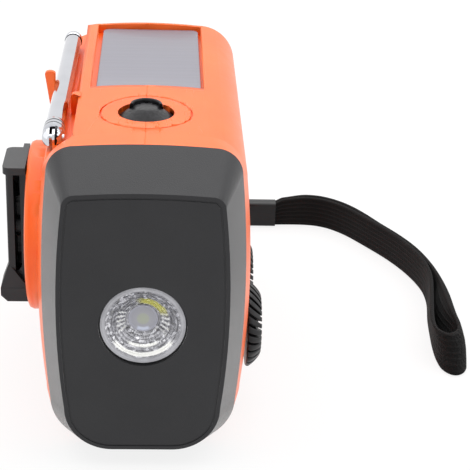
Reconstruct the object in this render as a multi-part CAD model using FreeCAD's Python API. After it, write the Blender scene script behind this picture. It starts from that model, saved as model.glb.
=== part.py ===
"""Hand crank weather radio: moulded case in two halves, lamp end cap, folding crank and gear train,
telescopic antenna, solar panel, speaker, tuning and volume controls, and a wrist strap. Millimetres.
X runs from the crank side to the knob side, Y from the lamp end to the port end and Z up from the table,
with the origin under the case's middle."""
import FreeCAD
import Part
import math
import os

Vector = FreeCAD.Vector
X, Y, Z = Vector(1, 0, 0), Vector(0, 1, 0), Vector(0, 0, 1)

# Case
case_length = 114.0
case_height = 77.0
body_half = 24.9
seam_half = 23.5
end_half = 19.5
side_lean = 1.5
crown = 0.6
wall = 2.2
cap_depth = 10.8
flare = 7.0
tail_depth = 12.4
end_drop = 7.2
end_lift = 4.5
seam_corner = 6.5
body_corner = 10.0
foot_corner = 12.0
end_top_corner = 3.0
lamp_foot_corner = 11.0
port_foot_corner = 8.0
lamp_y = -case_length / 2
seam_y = lamp_y + cap_depth
port_y = case_length / 2
tail_y = port_y - tail_depth
gap = 0.3
press = 0.02
running = 0.05

# Lamp
lamp_z = 37.4
lens_radius = 9.7
lens_thickness = 2.4
lens_step_radius = 10.7
lens_step = 0.8
panel_groove_inset = 0.9
panel_groove_width = 0.5
panel_groove_depth = 0.5
reflector_length = 12.0
reflector_throat = 3.4
led_size = 3.4
led_board_radius = 9.0
led_board_thickness = 1.4
cap_lip = 3.0
cap_lip_wall = 1.2

# Lamp button
button_y = seam_y + 20.6
button_hole_radius = 6.6
button_base_radius = 6.2
button_top_radius = 4.0
button_rise = 1.9
button_sink = 0.9
button_dish = 0.8
button_dish_radius = 3.3
button_travel = 1.0
button_flange_radius = 7.6
button_flange = 1.0
button_stem_radius = 1.6
button_stem = 3.2
button_collar_radius = 10.0
button_collar = 3.4
button_ring_radius = 10.9
button_ring_width = 0.4
button_ring_depth = 0.55
switch_size = 6.0
switch_height = 3.5
switch_board_width = 16.0
switch_board_length = 18.0
board_sheet = 1.2
leg_radius = 1.5
leg_x = -6.0
leg_reach = 7.6

# Solar panel
solar_half_width = 13.9
solar_near_y = seam_y + 39.2
solar_far_y = tail_y - 2.0
solar_depth = 2.7
solar_gutter = 1.3
solar_end_gutter = 0.5
solar_thickness = 1.5
solar_floor = 1.5
solar_corner = 2.0

# Crank: an upright hub with a bar and two lugs, and a forked arm that lies behind it
crank_y = seam_y + 29.2
crank_z = 43.8
crank_rest = -20.0
boss_radius = 20.8
boss_face = 28.2
boss_round = 1.2
boss_skin = 2.0
boss_root = 21.2
bush_radius = 4.5
bush_length = 5.0
shaft_radius = 2.5
shaft_tail_radius = 2.0
hub_near = 9.0
hub_far = 7.0
hub_rise = 18.6
hub_fall = 16.8
hub_plate = 1.5
hub_corner = 1.6
barrel_reach = 33.5
bar_thickness = 1.8
bar_near = 6.0
bar_depth = 4.5
bar_round = 0.8
upper_lug = 1.8
upper_lug_depth = 13.5
upper_lug_lip = 0.4
lower_lug = 3.6
lower_lug_depth = 6.5
lower_lug_lip = 1.7
gusset_rise = 7.0
gusset_fall = 4.8
gusset_width = 1.2
arm_thickness = 4.0
arm_length = 44.0
arm_root = 9.5
arm_tip = 6.6
grip_radius = 3.2
grip_length = 24.0
grip_stem_radius = 1.5
grip_head_radius = 2.4
grip_head = 1.2
grip_block = 7.0
grip_clear = 0.4
grip_pin_radius = 1.0
crank_screw_head = 2.4
screw_head_depth = 1.4

# Gear train
gear_module = 0.8
drive_teeth = 36
idler_small_teeth = 12
idler_big_teeth = 30
generator_teeth = 12
gear_width = 2.8
gear_gap = 0.7
drive_gear_x = -20.2
gear_backlash = 0.16
gear_stub = 0.8
gear_root = 1.05
idler_angle = -36.0
generator_angle = 8.0
idler_axle_radius = 1.2
gearbox_thickness = 1.6
gearbox_corner = 2.0
pillar_radius = 2.2
pillar_offsets = [(0.0, 18.2), (-7.0, -18.8), (41.5, 0.4)]
gearbox_offsets = [
    (-3.0, 21.2), (3.0, 21.2), (21.0, 4.2), (37.0, 3.4), (44.6, 3.4), (44.6, -3.0), (39.0, -18.0), (27.0, -21.4),
    (-9.0, -21.4), (-10.5, -16.8), (-7.0, 0.2),
]
generator_radius = 10.8
generator_length = 11.0
generator_shaft_radius = 1.0

# Antenna
antenna_x = -20.6
antenna_drop = 3.5
antenna_pivot_y = seam_y + 12.2
antenna_end_y = tail_y - 3.6
antenna_radii = [2.0, 1.65, 1.35, 1.05, 0.75]
antenna_tip_radius = 2.4
antenna_tip_length = 4.0
knuckle_radius = 2.3
knuckle_length = 7.0
tongue_half = 0.55
tongue_radius = 2.0
antenna_foot_half = 3.0
antenna_foot_inner = 0.1
antenna_foot_outer = 4.1
antenna_foot = 1.2
antenna_pin_radius = 0.8
rebate_edge = -16.4
rebate_depth = 6.2
rebate_near_wall = 1.5
rebate_near_y = seam_y + 4.7
rebate_corner = 4.0
prong_y = seam_y + 46.7
prong_width = 4.0
prong_thickness = 2.0
prong_root = 1.0
prong_rise = 0.2
tab_y = seam_y + 33.7
tab_width = 3.5

# Front controls
knob_radius = 10.6
knob_teeth = 34
knob_tooth_depth = 1.5
knob_clear = 0.2
tuning_reach = 3.7
volume_reach = 2.9
knob_chamfer = 0.9
tuning_y = seam_y + 20.2
volume_y = seam_y + 46.2
knob_z = 21.5
spindle_radius = 3.0
board_x = 7.0
board_thickness = 1.6
board_near_y = seam_y + 5.2
board_far_y = seam_y + 53.8
board_low = 11.8
board_high = 58.0
standoff_radius = 2.0
standoff_places = [(seam_y + 34.2, 54.5), (seam_y + 51.0, 42.0), (seam_y + 8.4, 40.0)]
small_screw_radius = 1.0
small_screw_head_radius = 1.9
small_screw_head = 1.2
small_screw_bite = 5.0
tuner_size = 20.0
tuner_depth = 8.0
pot_radius = 8.0
pot_depth = 7.0
dial_radius = 14.8
dial_x = 18.3
dial_thickness = 0.8
window_inner = 11.5
window_outer = 14.2
window_half_angle = 42.0
window_clear = 0.1
band_y = seam_y + 16.2
band_z = 52.0
band_travel = 6.0
band_slot = 12.0
band_slot_height = 3.4
band_knob = 5.6
band_reach = 24.2

# Speaker
speaker_y = tail_y - 17.6
speaker_z = 40.0
speaker_radius = 17.5
speaker_depth = 9.0
speaker_magnet_radius = 9.0
speaker_seat = 21.4
speaker_rim = 1.4
speaker_collar = 1.4
speaker_collar_x = 18.6
grille_rows = 9
grille_pitch = 3.2
grille_slot = 1.6
grille_radius = 15.5

# Battery
battery_radius = 9.0
battery_length = 65.0
battery_x = -8.0
battery_z = 12.4
battery_y = seam_y + 15.4
holder_wall = 1.0
nub_length = 1.2
ferrite_radius = 4.0
ferrite_x = 6.6
ferrite_start = seam_y + 34.2
ferrite_length = 42.0
cradle_places = [ferrite_start + 3.0, ferrite_start + 36.0]
cradle_width = 2.5
cradle_side = 1.4

# Ports and cover
port_left = -14.6
port_right = 9.4
port_low = 29.0
port_high = 45.0
port_recess = 1.2
port_corner = 2.5
cover_thickness = 1.1
cover_bead = 0.5
usb_width = 13.1
usb_height = 5.7
usb_length = 14.0
usb_x = -6.4
usb_skin = 0.4
usb_tongue = 1.9
charge_width = 8.0
charge_height = 3.0
charge_length = 6.0
charge_x = 5.0
port_board_top = 33.4
port_board_length = 16.0

# Case screws, the lower pair beside the cell
screw_radius = 1.3
screw_head_radius = 2.3
screw_head = 1.8
screw_bite = 8.0
screw_seat = 18.8
post_radius = 3.2
post_clear = 0.4
near_post_clear = 2.1
holder_end = 1.4
lower_screw_z = 7.8
upper_screw_z = 61.0

# Wrist strap, standing on its edge on the table
strap_width = 8.4
strap_thickness = 1.1
strap_low = 0.3
ferrule_start = 31.6
ferrule_length = 8.6
ferrule_y = 80.2
ferrule_thickness = 4.4
ferrule_height = 9.0
ferrule_chamfer = 0.8
string_radius = 0.6
eye_x = 13.5
eye_y = 55.6
eye_bar_radius = 0.9
eye_half_width = 3.3
eye_depth = 5.0
eye_low = 9.4
eye_high = 14.2
eye_wall = 1.5
strap_route = [
    (38.0, 79.5), (47.6, 79.9), (55.1, 78.7), (63.2, 70.7), (69.8, 60.4), (74.8, 50.6), (78.3, 41.0), (80.0, 30.0),
    (79.6, 18.0), (77.8, 6.5), (76.4, -4.0), (76.9, -13.0), (81.2, -18.3), (86.0, -13.5), (86.9, -3.5), (85.7, 8.5),
    (84.9, 21.0), (83.6, 32.0), (80.2, 42.0), (76.0, 51.4), (71.0, 61.2), (64.4, 71.7), (55.9, 80.1), (47.4, 81.3),
    (38.0, 80.9),
]
string_route = [
    (34.0, 80.9, 4.6), (27.0, 79.6, 5.2), (21.6, 75.6, 6.6), (17.2, 70.2, 8.4), (13.6, 64.2, 10.2), (11.6, 58.4, 11.6),
    (11.6, 53.4, 11.8), (15.4, 53.3, 11.8), (15.6, 58.6, 11.5), (17.6, 63.6, 10.2), (21.0, 69.0, 8.4),
    (25.2, 74.4, 6.3), (29.6, 78.6, 5.0), (34.0, 79.3, 4.6),
]


def box(x0, x1, y0, y1, z0, z1):
    return Part.makeBox(x1 - x0, y1 - y0, z1 - z0, Vector(x0, y0, z0))


def rod(radius, x0, x1, y, z):
    """A cylinder along X."""
    return Part.makeCylinder(radius, x1 - x0, Vector(x0, y, z), X)


def rod_y(radius, y0, y1, x, z):
    return Part.makeCylinder(radius, y1 - y0, Vector(x, y0, z), Y)


def rod_z(radius, z0, z1, x, y):
    return Part.makeCylinder(radius, z1 - z0, Vector(x, y, z0), Z)


def fused(shapes):
    return shapes[0].multiFuse(shapes[1:]).removeSplitter()


def wire_face(points, closed=True):
    ring = points + [points[0]] if closed else points
    return Part.Face(Part.makePolygon(ring))


def rounded_plate(x0, x1, z0, z1, corner, y0, y1):
    """A plate in the XZ plane with round corners, from y0 to y1."""
    block = box(x0, x1, y0, y1, z0, z1)
    upright = [e for e in block.Edges if abs(e.Vertexes[0].Y - e.Vertexes[-1].Y) > 1e-6]
    return block.makeFillet(corner, upright)


def arc(a, b, c):
    return Part.Arc(a, b, c).toShape()


def corner_middle(cx, cz, y, radius, degrees):
    angle = math.radians(degrees)
    return Vector(cx + radius * math.cos(angle), y, cz + radius * math.sin(angle))


def section(y, half, low, high, top_corner, foot, inset=0.0):
    """The case's outline across its length: bowed sides, rounded shoulders and feet, crowned top and flat base."""
    half, low, high = half - inset, low + inset, high - inset
    top_corner, foot = max(top_corner - inset, 0.6), max(foot - inset, 0.6)
    waist = half - side_lean
    middle = (low + high) / 2
    brow = high - crown
    shoulder, heel = brow - top_corner, low + foot
    p = [Vector(-(waist - foot), y, low), Vector(waist - foot, y, low), Vector(waist, y, heel),
         Vector(waist, y, shoulder), Vector(waist - top_corner, y, brow), Vector(-(waist - top_corner), y, brow),
         Vector(-waist, y, shoulder), Vector(-waist, y, heel)]
    edges = [Part.LineSegment(p[0], p[1]).toShape()]
    edges.append(arc(p[1], corner_middle(waist - foot, heel, y, foot, -45), p[2]))
    edges.append(arc(p[2], Vector(half, y, middle), p[3]))
    edges.append(arc(p[3], corner_middle(waist - top_corner, shoulder, y, top_corner, 45), p[4]))
    edges.append(arc(p[4], Vector(0, y, high), p[5]))
    edges.append(arc(p[5], corner_middle(-(waist - top_corner), shoulder, y, top_corner, 135), p[6]))
    edges.append(arc(p[6], Vector(-half, y, middle), p[7]))
    edges.append(arc(p[7], corner_middle(-(waist - foot), heel, y, foot, 225), p[0]))
    return Part.Wire(edges)


def seam_section(y, inset=0.0):
    return section(y, seam_half, 0.0, case_height, seam_corner, foot_corner, inset)


def lip_section(y, inset):
    return section(y, seam_half, 0.0, case_height, body_corner, foot_corner, inset)


def body_section(y, inset=0.0):
    return section(y, body_half, 0.0, case_height, body_corner, foot_corner, inset)


def end_section(y, foot, inset=0.0):
    return section(y, end_half, end_lift, case_height - end_drop, end_top_corner, foot, inset)


def case_form(inset=0.0):
    """The orange case as one solid, shrunk by inset: a flare at the lamp seam, a straight body and a tapered tail."""
    flare_end = seam_y + flare
    mouth = Part.makeLoft([seam_section(seam_y, inset), body_section(flare_end, inset)], True, True)
    body = Part.Face(body_section(flare_end, inset)).extrude(Y * (tail_y - flare_end))
    port_end = end_section(port_y - inset, port_foot_corner, inset)
    tail = Part.makeLoft([body_section(tail_y, inset), port_end], True, True)
    return body.multiFuse([mouth, tail]).removeSplitter()


def gear_outline(teeth, x):
    """A stub involute gear outline in the plane at x, round the origin, with a tooth on +Y."""
    pitch = gear_module * teeth / 2
    base = pitch * math.cos(math.radians(20))
    tip = pitch + gear_stub * gear_module
    root = pitch - gear_root * gear_module
    slope = math.tan(math.radians(20)) - math.radians(20)
    half_pitch_angle = math.pi / (2 * teeth) - gear_backlash / (2 * pitch)

    def flank(radius):
        turn = math.acos(min(1.0, base / radius))
        return half_pitch_angle + slope - (math.tan(turn) - turn)

    radii = [root, max(base, root + 0.05), pitch, tip]
    points = []
    for tooth in range(teeth):
        centre = 2 * math.pi * tooth / teeth
        angles = [(r, centre - flank(max(r, base))) for r in radii]
        angles += [(r, centre + flank(max(r, base))) for r in reversed(radii)]
        points += [Vector(x, r * math.cos(a), r * math.sin(a)) for r, a in angles]
    return points


def gear(teeth, x0, width, y, z, turn=0.0):
    solid = wire_face(gear_outline(teeth, x0)).extrude(X * width)
    solid.rotate(Vector(0, 0, 0), X, turn)
    solid.translate(Vector(0, y, z))
    return solid


def turned(profile, y=0.0, z=0.0):
    """A profile of (x, radius) points turned about an axis along X at y, z."""
    face = wire_face([Vector(a, r, 0) for a, r in profile])
    solid = face.revolve(Vector(0, 0, 0), X, 360)
    solid.translate(Vector(0, y, z))
    return solid


def turned_y(profile, x=0.0, z=0.0):
    """A profile of (y, radius) points turned about an axis along Y at x, z."""
    face = wire_face([Vector(r, a, 0) for a, r in profile])
    solid = face.revolve(Vector(0, 0, 0), Y, 360)
    solid.translate(Vector(x, 0, z))
    return solid


def turned_z(profile, x=0.0, y=0.0):
    """A profile of (z, radius) points turned about an axis along Z at x, y."""
    face = wire_face([Vector(r, 0, a) for a, r in profile])
    solid = face.revolve(Vector(0, 0, 0), Z, 360)
    solid.translate(Vector(x, y, 0))
    return solid


# Places worked out from the sizes above
first_centres = gear_module * (drive_teeth + idler_small_teeth) / 2
second_centres = gear_module * (idler_big_teeth + generator_teeth) / 2
idler_y = crank_y + first_centres * math.cos(math.radians(idler_angle))
idler_z = crank_z + first_centres * math.sin(math.radians(idler_angle))
generator_y = idler_y + second_centres * math.cos(math.radians(generator_angle))
generator_z = idler_z + second_centres * math.sin(math.radians(generator_angle))
second_gear_x = drive_gear_x + gear_width + gear_gap
gearbox_x = second_gear_x + gear_width + gear_gap
generator_x = gearbox_x + gearbox_thickness
solar_floor_z = case_height - solar_depth
knob_back = body_half + knob_clear
rebate_floor = case_height - rebate_depth
antenna_z = case_height - antenna_drop
prong_top = case_height + prong_rise
pillar_places = [(crank_y + along, crank_z + rise) for along, rise in pillar_offsets]
gearbox_outline = [(crank_y + along, crank_z + rise) for along, rise in gearbox_offsets]
battery_end = battery_y + battery_length + nub_length + holder_wall
screw_places = [
    (battery_y - holder_end - near_post_clear - post_radius, lower_screw_z),
    (battery_end + post_clear + post_radius, lower_screw_z),
    (tail_y - 4.6, upper_screw_z), (seam_y + 8.4, upper_screw_z),
]
arm_outer = barrel_reach - 0.3
arm_inner = arm_outer - arm_thickness
grip_axis_x = barrel_reach - 1.9
board_face = board_x + board_thickness
ferrite_z = solar_floor_z - solar_floor - ferrite_radius - 0.2
button_shoulder_z = case_height - wall - gap
switch_top_z = button_shoulder_z - button_flange - button_stem - button_travel - 0.1
switch_low_z = switch_top_z - switch_height
leg_places = [(leg_x, button_y - leg_reach), (leg_x, button_y + leg_reach)]


def lamp_pieces():
    """The end cap with its framed panel, and the lamp inside it."""
    outer = Part.makeLoft([seam_section(seam_y), end_section(lamp_y, lamp_foot_corner)], True, True)
    panel_back = end_section(lamp_y + wall, lamp_foot_corner, wall)
    hollow = Part.makeLoft([seam_section(seam_y, wall), panel_back], True, True)
    lip_solid = Part.Face(lip_section(seam_y, wall + 0.15)).extrude(Y * cap_lip)
    root_back = 2.0
    root_solid = Part.Face(lip_section(seam_y - root_back, wall + 0.15)).extrude(Y * root_back)
    lip_hole = Part.Face(lip_section(seam_y - root_back, wall + cap_lip_wall)).extrude(Y * (root_back + cap_lip))
    cap = outer.cut(hollow).fuse(root_solid.common(outer)).fuse(lip_solid).cut(lip_hole)
    frame_out = Part.Face(end_section(lamp_y, lamp_foot_corner, panel_groove_inset))
    frame_in = Part.Face(end_section(lamp_y, lamp_foot_corner, panel_groove_inset + panel_groove_width))
    groove = frame_out.cut(frame_in).extrude(Y * panel_groove_depth)
    cap = cap.cut(groove)
    seat_y = lamp_y + lens_step + lens_thickness
    tube = rod_y(lens_radius + 1.6, lamp_y + wall - 0.2, lamp_y + reflector_length + 1.0, 0, lamp_z)
    cap = cap.fuse(tube)
    cap = cap.cut(rod_y(lens_step_radius, lamp_y - 1, lamp_y + lens_step, 0, lamp_z))
    cap = cap.cut(rod_y(lens_radius + running, lamp_y - 1, lamp_y + reflector_length + 2.0, 0, lamp_z))
    lens = turned_y([(lamp_y + lens_step - 0.2, 0), (lamp_y + lens_step - 0.2, lens_radius - 0.4),
                     (lamp_y + lens_step + 0.2, lens_radius), (seat_y, lens_radius), (seat_y, 8.4),
                     (seat_y + 0.6, 7.6), (seat_y + 3.6, 3.6), (seat_y + 3.6, 2.6), (seat_y + 1.4, 0)], 0, lamp_z)
    cup_front = seat_y + 0.05
    cup_back = lamp_y + reflector_length
    reflector = turned_y([(cup_front, lens_radius - 0.9), (cup_front, lens_radius), (cup_back, lens_radius),
                          (cup_back, reflector_throat), (cup_back - 1.0, reflector_throat),
                          (cup_back - 3.0, 5.4), (cup_front + 2.6, 7.9)], 0, lamp_z)
    board = rod_y(led_board_radius, cup_back, cup_back + led_board_thickness, 0, lamp_z)
    half = led_size / 2
    led = box(-half, half, cup_back - 1.3, cup_back, lamp_z - half, lamp_z + half)
    dome = turned_y([(cup_back - 2.3, 0), (cup_back - 1.9, 0.9), (cup_back - 1.2, 1.3), (cup_back - 1.2, 0)],
                    0, lamp_z)
    return {"lamp_end_cap": cap.removeSplitter(), "lamp_lens": lens, "lamp_reflector": reflector,
            "led_board": board, "lamp_led": fused([led, dome])}


def antenna_rebate():
    cut = box(-body_half - 6, rebate_edge, rebate_near_y, port_y + 5, rebate_floor, case_height + 5)
    corner = [e for e in cut.Edges if abs(e.Vertexes[0].Z - e.Vertexes[-1].Z) > 1e-6
              and abs(e.Vertexes[0].X - rebate_edge) < 1e-6 and abs(e.Vertexes[0].Y - rebate_near_y) < 1e-6]
    return cut.makeFillet(rebate_corner, corner)


def top_cuts():
    """The solar recess and the button's hole and ring groove, shared by both halves."""
    pocket = box(-solar_half_width, solar_half_width, solar_near_y, solar_far_y, solar_floor_z, case_height + 5)
    hole = rod_z(button_hole_radius, case_height - 10, case_height + 5, 0, button_y)
    ring = rod_z(button_ring_radius, case_height - button_ring_depth, case_height + 5, 0, button_y)
    ring = ring.cut(rod_z(button_ring_radius - button_ring_width, case_height - 5, case_height + 6, 0, button_y))
    return [pocket, hole, ring]


def port_cuts():
    """The port recess, the sockets' windows and the strap eye in the port end."""
    recess = rounded_plate(port_left, port_right, port_low, port_high, port_corner, port_y - port_recess, port_y + 1)
    usb = box(usb_x - usb_width / 2 - running, usb_x + usb_width / 2 + running, port_y - 6, port_y,
              port_board_top - running, port_board_top + usb_height + running)
    charge = box(charge_x - charge_width / 2 - running, charge_x + charge_width / 2 + running, port_y - 6, port_y,
                 port_board_top - running, port_board_top + charge_height + running)
    eye = box(eye_x - eye_half_width, eye_x + eye_half_width, port_y - eye_depth, port_y + 1, eye_low, eye_high)
    return [recess, usb, charge, eye]


def back_inside(outer):
    """What stands inside the back half: screw posts, gearbox pillars, the switch board's legs and the antenna's skin."""
    posts = [rod(post_radius, -body_half, 0, y, z) for y, z in screw_places]
    posts += [rod(pillar_radius, -body_half - 3, gearbox_x, y, z) for y, z in pillar_places]
    legs = [rod_z(leg_radius, switch_low_z, case_height - 1, x, y) for x, y in leg_places]
    skin = box(-body_half - 6, rebate_edge + wall, rebate_near_y - rebate_near_wall, port_y, rebate_floor - wall,
               case_height)
    return [p.common(outer) for p in posts + legs + [skin]]


def front_inside(outer):
    """What stands inside the front half: blind posts, board standoffs, the speaker's collar and the rod's cradles."""
    posts = [rod(post_radius - 0.4, 0, body_half, y, z) for y, z in screw_places]
    posts += [rod(standoff_radius, board_face, body_half, y, z) for y, z in standoff_places]
    collar_radius = speaker_radius + speaker_collar
    posts.append(rod(collar_radius, speaker_collar_x, body_half, speaker_y, speaker_z)
                 .cut(rod(speaker_radius + press, speaker_collar_x - 1, speaker_seat, speaker_y, speaker_z))
                 .cut(rod(speaker_radius - speaker_rim, speaker_seat - 1, body_half + 1, speaker_y, speaker_z)))
    side = ferrite_radius + cradle_side
    for y in cradle_places:
        posts.append(box(ferrite_x - side, ferrite_x + side, y, y + cradle_width, ferrite_z - 1.5, case_height - 1))
    return [p.common(outer) for p in posts]


def case_pieces():
    outer = case_form()
    inner = case_form(wall)
    solar_tray = box(-solar_half_width - 1.6, solar_half_width + 1.6, solar_near_y - 1.6, solar_far_y + 1.6,
                     solar_floor_z - solar_floor, case_height - 0.2).common(outer)
    collar = rod_z(button_collar_radius, case_height - wall - button_collar, case_height - wall + 0.2, 0, button_y)
    button_room = rod_z(button_flange_radius + 0.4, switch_low_z, case_height - wall, 0, button_y)
    port_block = box(port_left - 1.2, port_right + 1.2, port_y - port_recess - 2.0, port_y, port_low - 1.2,
                     port_high + 1.2).common(outer)
    eye_block = box(eye_x - eye_half_width - eye_wall, eye_x + eye_half_width + eye_wall,
                    port_y - eye_depth - eye_wall, port_y, eye_low - eye_wall, eye_high + eye_wall).common(outer)
    shell = outer.cut(inner).multiFuse([solar_tray, port_block, eye_block, collar])
    shared = top_cuts() + port_cuts() + [button_room]
    back = back_half(shell.common(box(-60, 0, -80, 80, -5, 90)).multiFuse(back_inside(outer)), shared)
    front = front_half(shell.common(box(0, 60, -80, 80, -5, 90)).multiFuse(front_inside(outer)), shared)
    return {"back_case": back.removeSplitter(), "front_case": front.removeSplitter()}


def back_half(half, shared):
    boss = turned([(-boss_face, 0), (-boss_face, boss_radius - boss_round),
                   (-boss_face + boss_round * 0.3, boss_radius - boss_round * 0.3),
                   (-boss_face + boss_round, boss_radius), (-boss_root, boss_radius), (-boss_root, 0)], crank_y, crank_z)
    half = half.fuse(boss)
    half = half.cut(rod(boss_radius - wall, -boss_face + boss_skin, -boss_root + 0.5, crank_y, crank_z)
                    .cut(rod(pillar_radius, -boss_face, 0, pillar_places[0][0], pillar_places[0][1])))
    cuts = shared + [antenna_rebate(), rod(bush_radius + press, -boss_face - 1, -boss_root, crank_y, crank_z)]
    for y, z in screw_places:
        cuts.append(rod(screw_radius + 0.15, -body_half - 1, 1, y, z))
        cuts.append(rod(screw_head_radius + 0.3, -body_half - 1, -screw_seat, y, z))
    for y, z in pillar_places:
        cuts.append(rod(small_screw_radius + press, gearbox_x - small_screw_bite - 1, gearbox_x + 1, y, z))
    for x, y in leg_places:
        cuts.append(rod_z(small_screw_radius + press, switch_low_z - 1, switch_low_z + small_screw_bite + 1, x, y))
    cuts.append(box(antenna_x - tongue_half - running, antenna_x + tongue_half + running,
                    antenna_pivot_y - tongue_radius - running, antenna_pivot_y + tongue_radius + running,
                    rebate_floor - wall - antenna_foot, rebate_floor + 1))
    for cut in cuts:
        half = half.cut(cut)
    return half.multiFuse(clip_prongs())


def front_half(half, shared):
    cuts = shared + front_cuts()
    for y, z in screw_places:
        cuts.append(rod(screw_radius + press, -1, screw_bite + 1, y, z))
    for y, z in standoff_places:
        cuts.append(rod(small_screw_radius + press, board_face - 1, board_face + small_screw_bite + 1, y, z))
    cuts.append(rod_y(ferrite_radius + press, ferrite_start - 5, ferrite_start + ferrite_length + 5, ferrite_x,
                      ferrite_z))
    for cut in cuts:
        half = half.cut(cut)
    return half.fuse(rod_z(eye_bar_radius, eye_low - 0.2, eye_high + 0.2, eye_x, eye_y))


def clip_prongs():
    """The antenna clip: an outer prong that widens to its rounded tip, and a tab against the rebate's wall."""
    left = antenna_x - antenna_radii[0] - gap
    near, low = prong_y - prong_width / 2, rebate_floor - 3.0
    prong = wire_face([Vector(left, near, low), Vector(left - prong_root, near, low),
                       Vector(left - prong_root, near, rebate_floor), Vector(left - prong_thickness, near, prong_top),
                       Vector(left, near, prong_top)]).extrude(Y * prong_width)
    tip = [e for e in prong.Edges if abs(e.Vertexes[0].Z - prong_top) < 1e-6
           and abs(e.Vertexes[-1].Z - prong_top) < 1e-6 and abs(e.Vertexes[0].X - e.Vertexes[-1].X) < 1e-6]
    prong = prong.makeFillet(prong_thickness * 0.4, tip)
    right = antenna_x + antenna_radii[0] + gap
    tab = box(right, rebate_edge + 0.5, tab_y - tab_width / 2, tab_y + tab_width / 2, rebate_floor - 1.0,
              case_height - crown)
    return [prong, tab]


def front_cuts():
    """Openings in the front half for the spindles, the dial window, the band slider and the speaker's slots."""
    reach = body_half + 2
    cuts = [rod(spindle_radius + 0.3, 15, reach, y, knob_z) for y in (tuning_y, volume_y)]
    cuts.append(window_sector(0.0, 15, reach))
    cuts.append(box(15, reach, band_y - band_slot / 2, band_y + band_slot / 2, band_z - band_slot_height / 2,
                    band_z + band_slot_height / 2))
    for row in range(grille_rows):
        z = (row - (grille_rows - 1) / 2) * grille_pitch
        half = math.sqrt(grille_radius ** 2 - z ** 2)
        slot = box(15, reach, speaker_y - half, speaker_y + half, speaker_z + z - grille_slot / 2,
                   speaker_z + z + grille_slot / 2)
        ends = [e for e in slot.Edges if abs(e.Vertexes[0].X - e.Vertexes[-1].X) > 1e-6]
        cuts.append(slot.makeFillet(grille_slot / 2 - 0.02, ends))
    return cuts


def window_sector(clear, x0, x1):
    """An arc-shaped window over the tuning dial, shrunk by clear."""
    ring = rod(window_outer - clear, x0, x1, tuning_y, knob_z)
    ring = ring.cut(rod(window_inner + clear, x0 - 1, x1 + 1, tuning_y, knob_z))
    far = 40.0
    half = math.radians(window_half_angle) - clear / window_outer
    centre = Vector(x0, tuning_y, knob_z)
    wedge = wire_face([centre, centre + Vector(0, -far * math.sin(half), far * math.cos(half)),
                       centre + Vector(0, far * math.sin(half), far * math.cos(half))]).extrude(X * (x1 - x0))
    return ring.common(wedge)


def top_pieces():
    """The solar panel, the rubber lamp button and the switch under it."""
    panel = box(-solar_half_width + solar_gutter, solar_half_width - solar_gutter, solar_near_y + solar_end_gutter,
                solar_far_y - solar_end_gutter, solar_floor_z, solar_floor_z + solar_thickness)
    upright = [e for e in panel.Edges if abs(e.Vertexes[0].Z - e.Vertexes[-1].Z) > 1e-6]
    panel = panel.makeFillet(solar_corner, upright)
    base_z = case_height - button_sink
    top_z = case_height + button_rise
    shoulder = button_shoulder_z
    low = shoulder - button_flange
    profile = [(low - button_stem, 0), (low - button_stem, button_stem_radius), (low, button_stem_radius),
               (low, button_flange_radius), (shoulder, button_flange_radius), (shoulder, button_base_radius),
               (base_z, button_base_radius), (top_z, button_top_radius), (top_z, button_dish_radius),
               (top_z - button_dish, button_dish_radius - 0.6), (top_z - button_dish, 0)]
    button = turned_z(profile, 0, button_y)
    half = switch_size / 2
    switch = box(-half, half, button_y - half, button_y + half, switch_low_z, switch_top_z - 0.8)
    switch = switch.fuse(rod_z(1.7, switch_top_z - 0.9, switch_top_z, 0, button_y))
    board = box(-switch_board_width / 2, switch_board_width / 2, button_y - switch_board_length / 2,
                button_y + switch_board_length / 2, switch_low_z - board_sheet, switch_low_z)
    for x, y in leg_places:
        board = board.cut(rod_z(small_screw_radius + press, 0, 80, x, y))
    return {"solar_panel": panel, "lamp_button": button, "button_switch": switch, "switch_board": board}


def hub():
    """The crank's hub: a plate and web on the boss, an upright bar in front of it, two lugs and their gussets."""
    inner = -boss_face - gap
    plate_x = inner - hub_plate
    near, far = crank_y - hub_near, crank_y + hub_far
    low, high = crank_z - hub_fall, crank_z + hub_rise
    upper_x, lower_x = -barrel_reach - upper_lug_lip, -barrel_reach - lower_lug_lip
    bar_front = crank_y - bar_near
    bar_back = bar_front + bar_depth
    plate = box(plate_x, inner, near + 2.0, far, low, high)
    web = box(-barrel_reach + bar_thickness, inner, bar_back, far, low, high - upper_lug)
    bar = box(-barrel_reach, -barrel_reach + bar_thickness, bar_front, bar_back, low, high)
    bar = bar.makeFillet(bar_round, upright_edges(bar, -barrel_reach))
    rib = box(-barrel_reach, -barrel_reach + bar_thickness + 0.1, bar_back - 0.6, bar_back + 0.6, low, high)
    upper = box(upper_x, inner, near, near + upper_lug_depth, high - upper_lug, high)
    upper = upper.makeFillet(hub_corner, upright_edges(upper, upper_x))
    lower_top = low + lower_lug
    lower = wire_face([Vector(inner, near, low), Vector(lower_x + hub_corner, near, low),
                       Vector(lower_x, near, low + hub_corner), Vector(lower_x, near, lower_top),
                       Vector(inner, near, lower_top)]).extrude(Y * lower_lug_depth)
    shoulder = Part.makeLoft([level_outline(lower_x, inner, near + 0.2, bar_back, lower_top),
                              level_outline(-barrel_reach, -barrel_reach + 0.4, bar_front + 0.2, bar_back,
                                            lower_top + gusset_fall)], True, True)
    parts = [plate, web, bar, rib, upper, lower, shoulder]
    for edge, tip in ((high - upper_lug, high - upper_lug - gusset_rise), (lower_top, lower_top + gusset_fall)):
        parts.append(wire_face([Vector(plate_x + 0.2, bar_front + 1.0, edge),
                                Vector(-barrel_reach + 0.6, bar_front + 1.0, edge),
                                Vector(plate_x + 0.2, bar_front + 1.0, tip)]).extrude(Y * gusset_width))
    return parts


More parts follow.
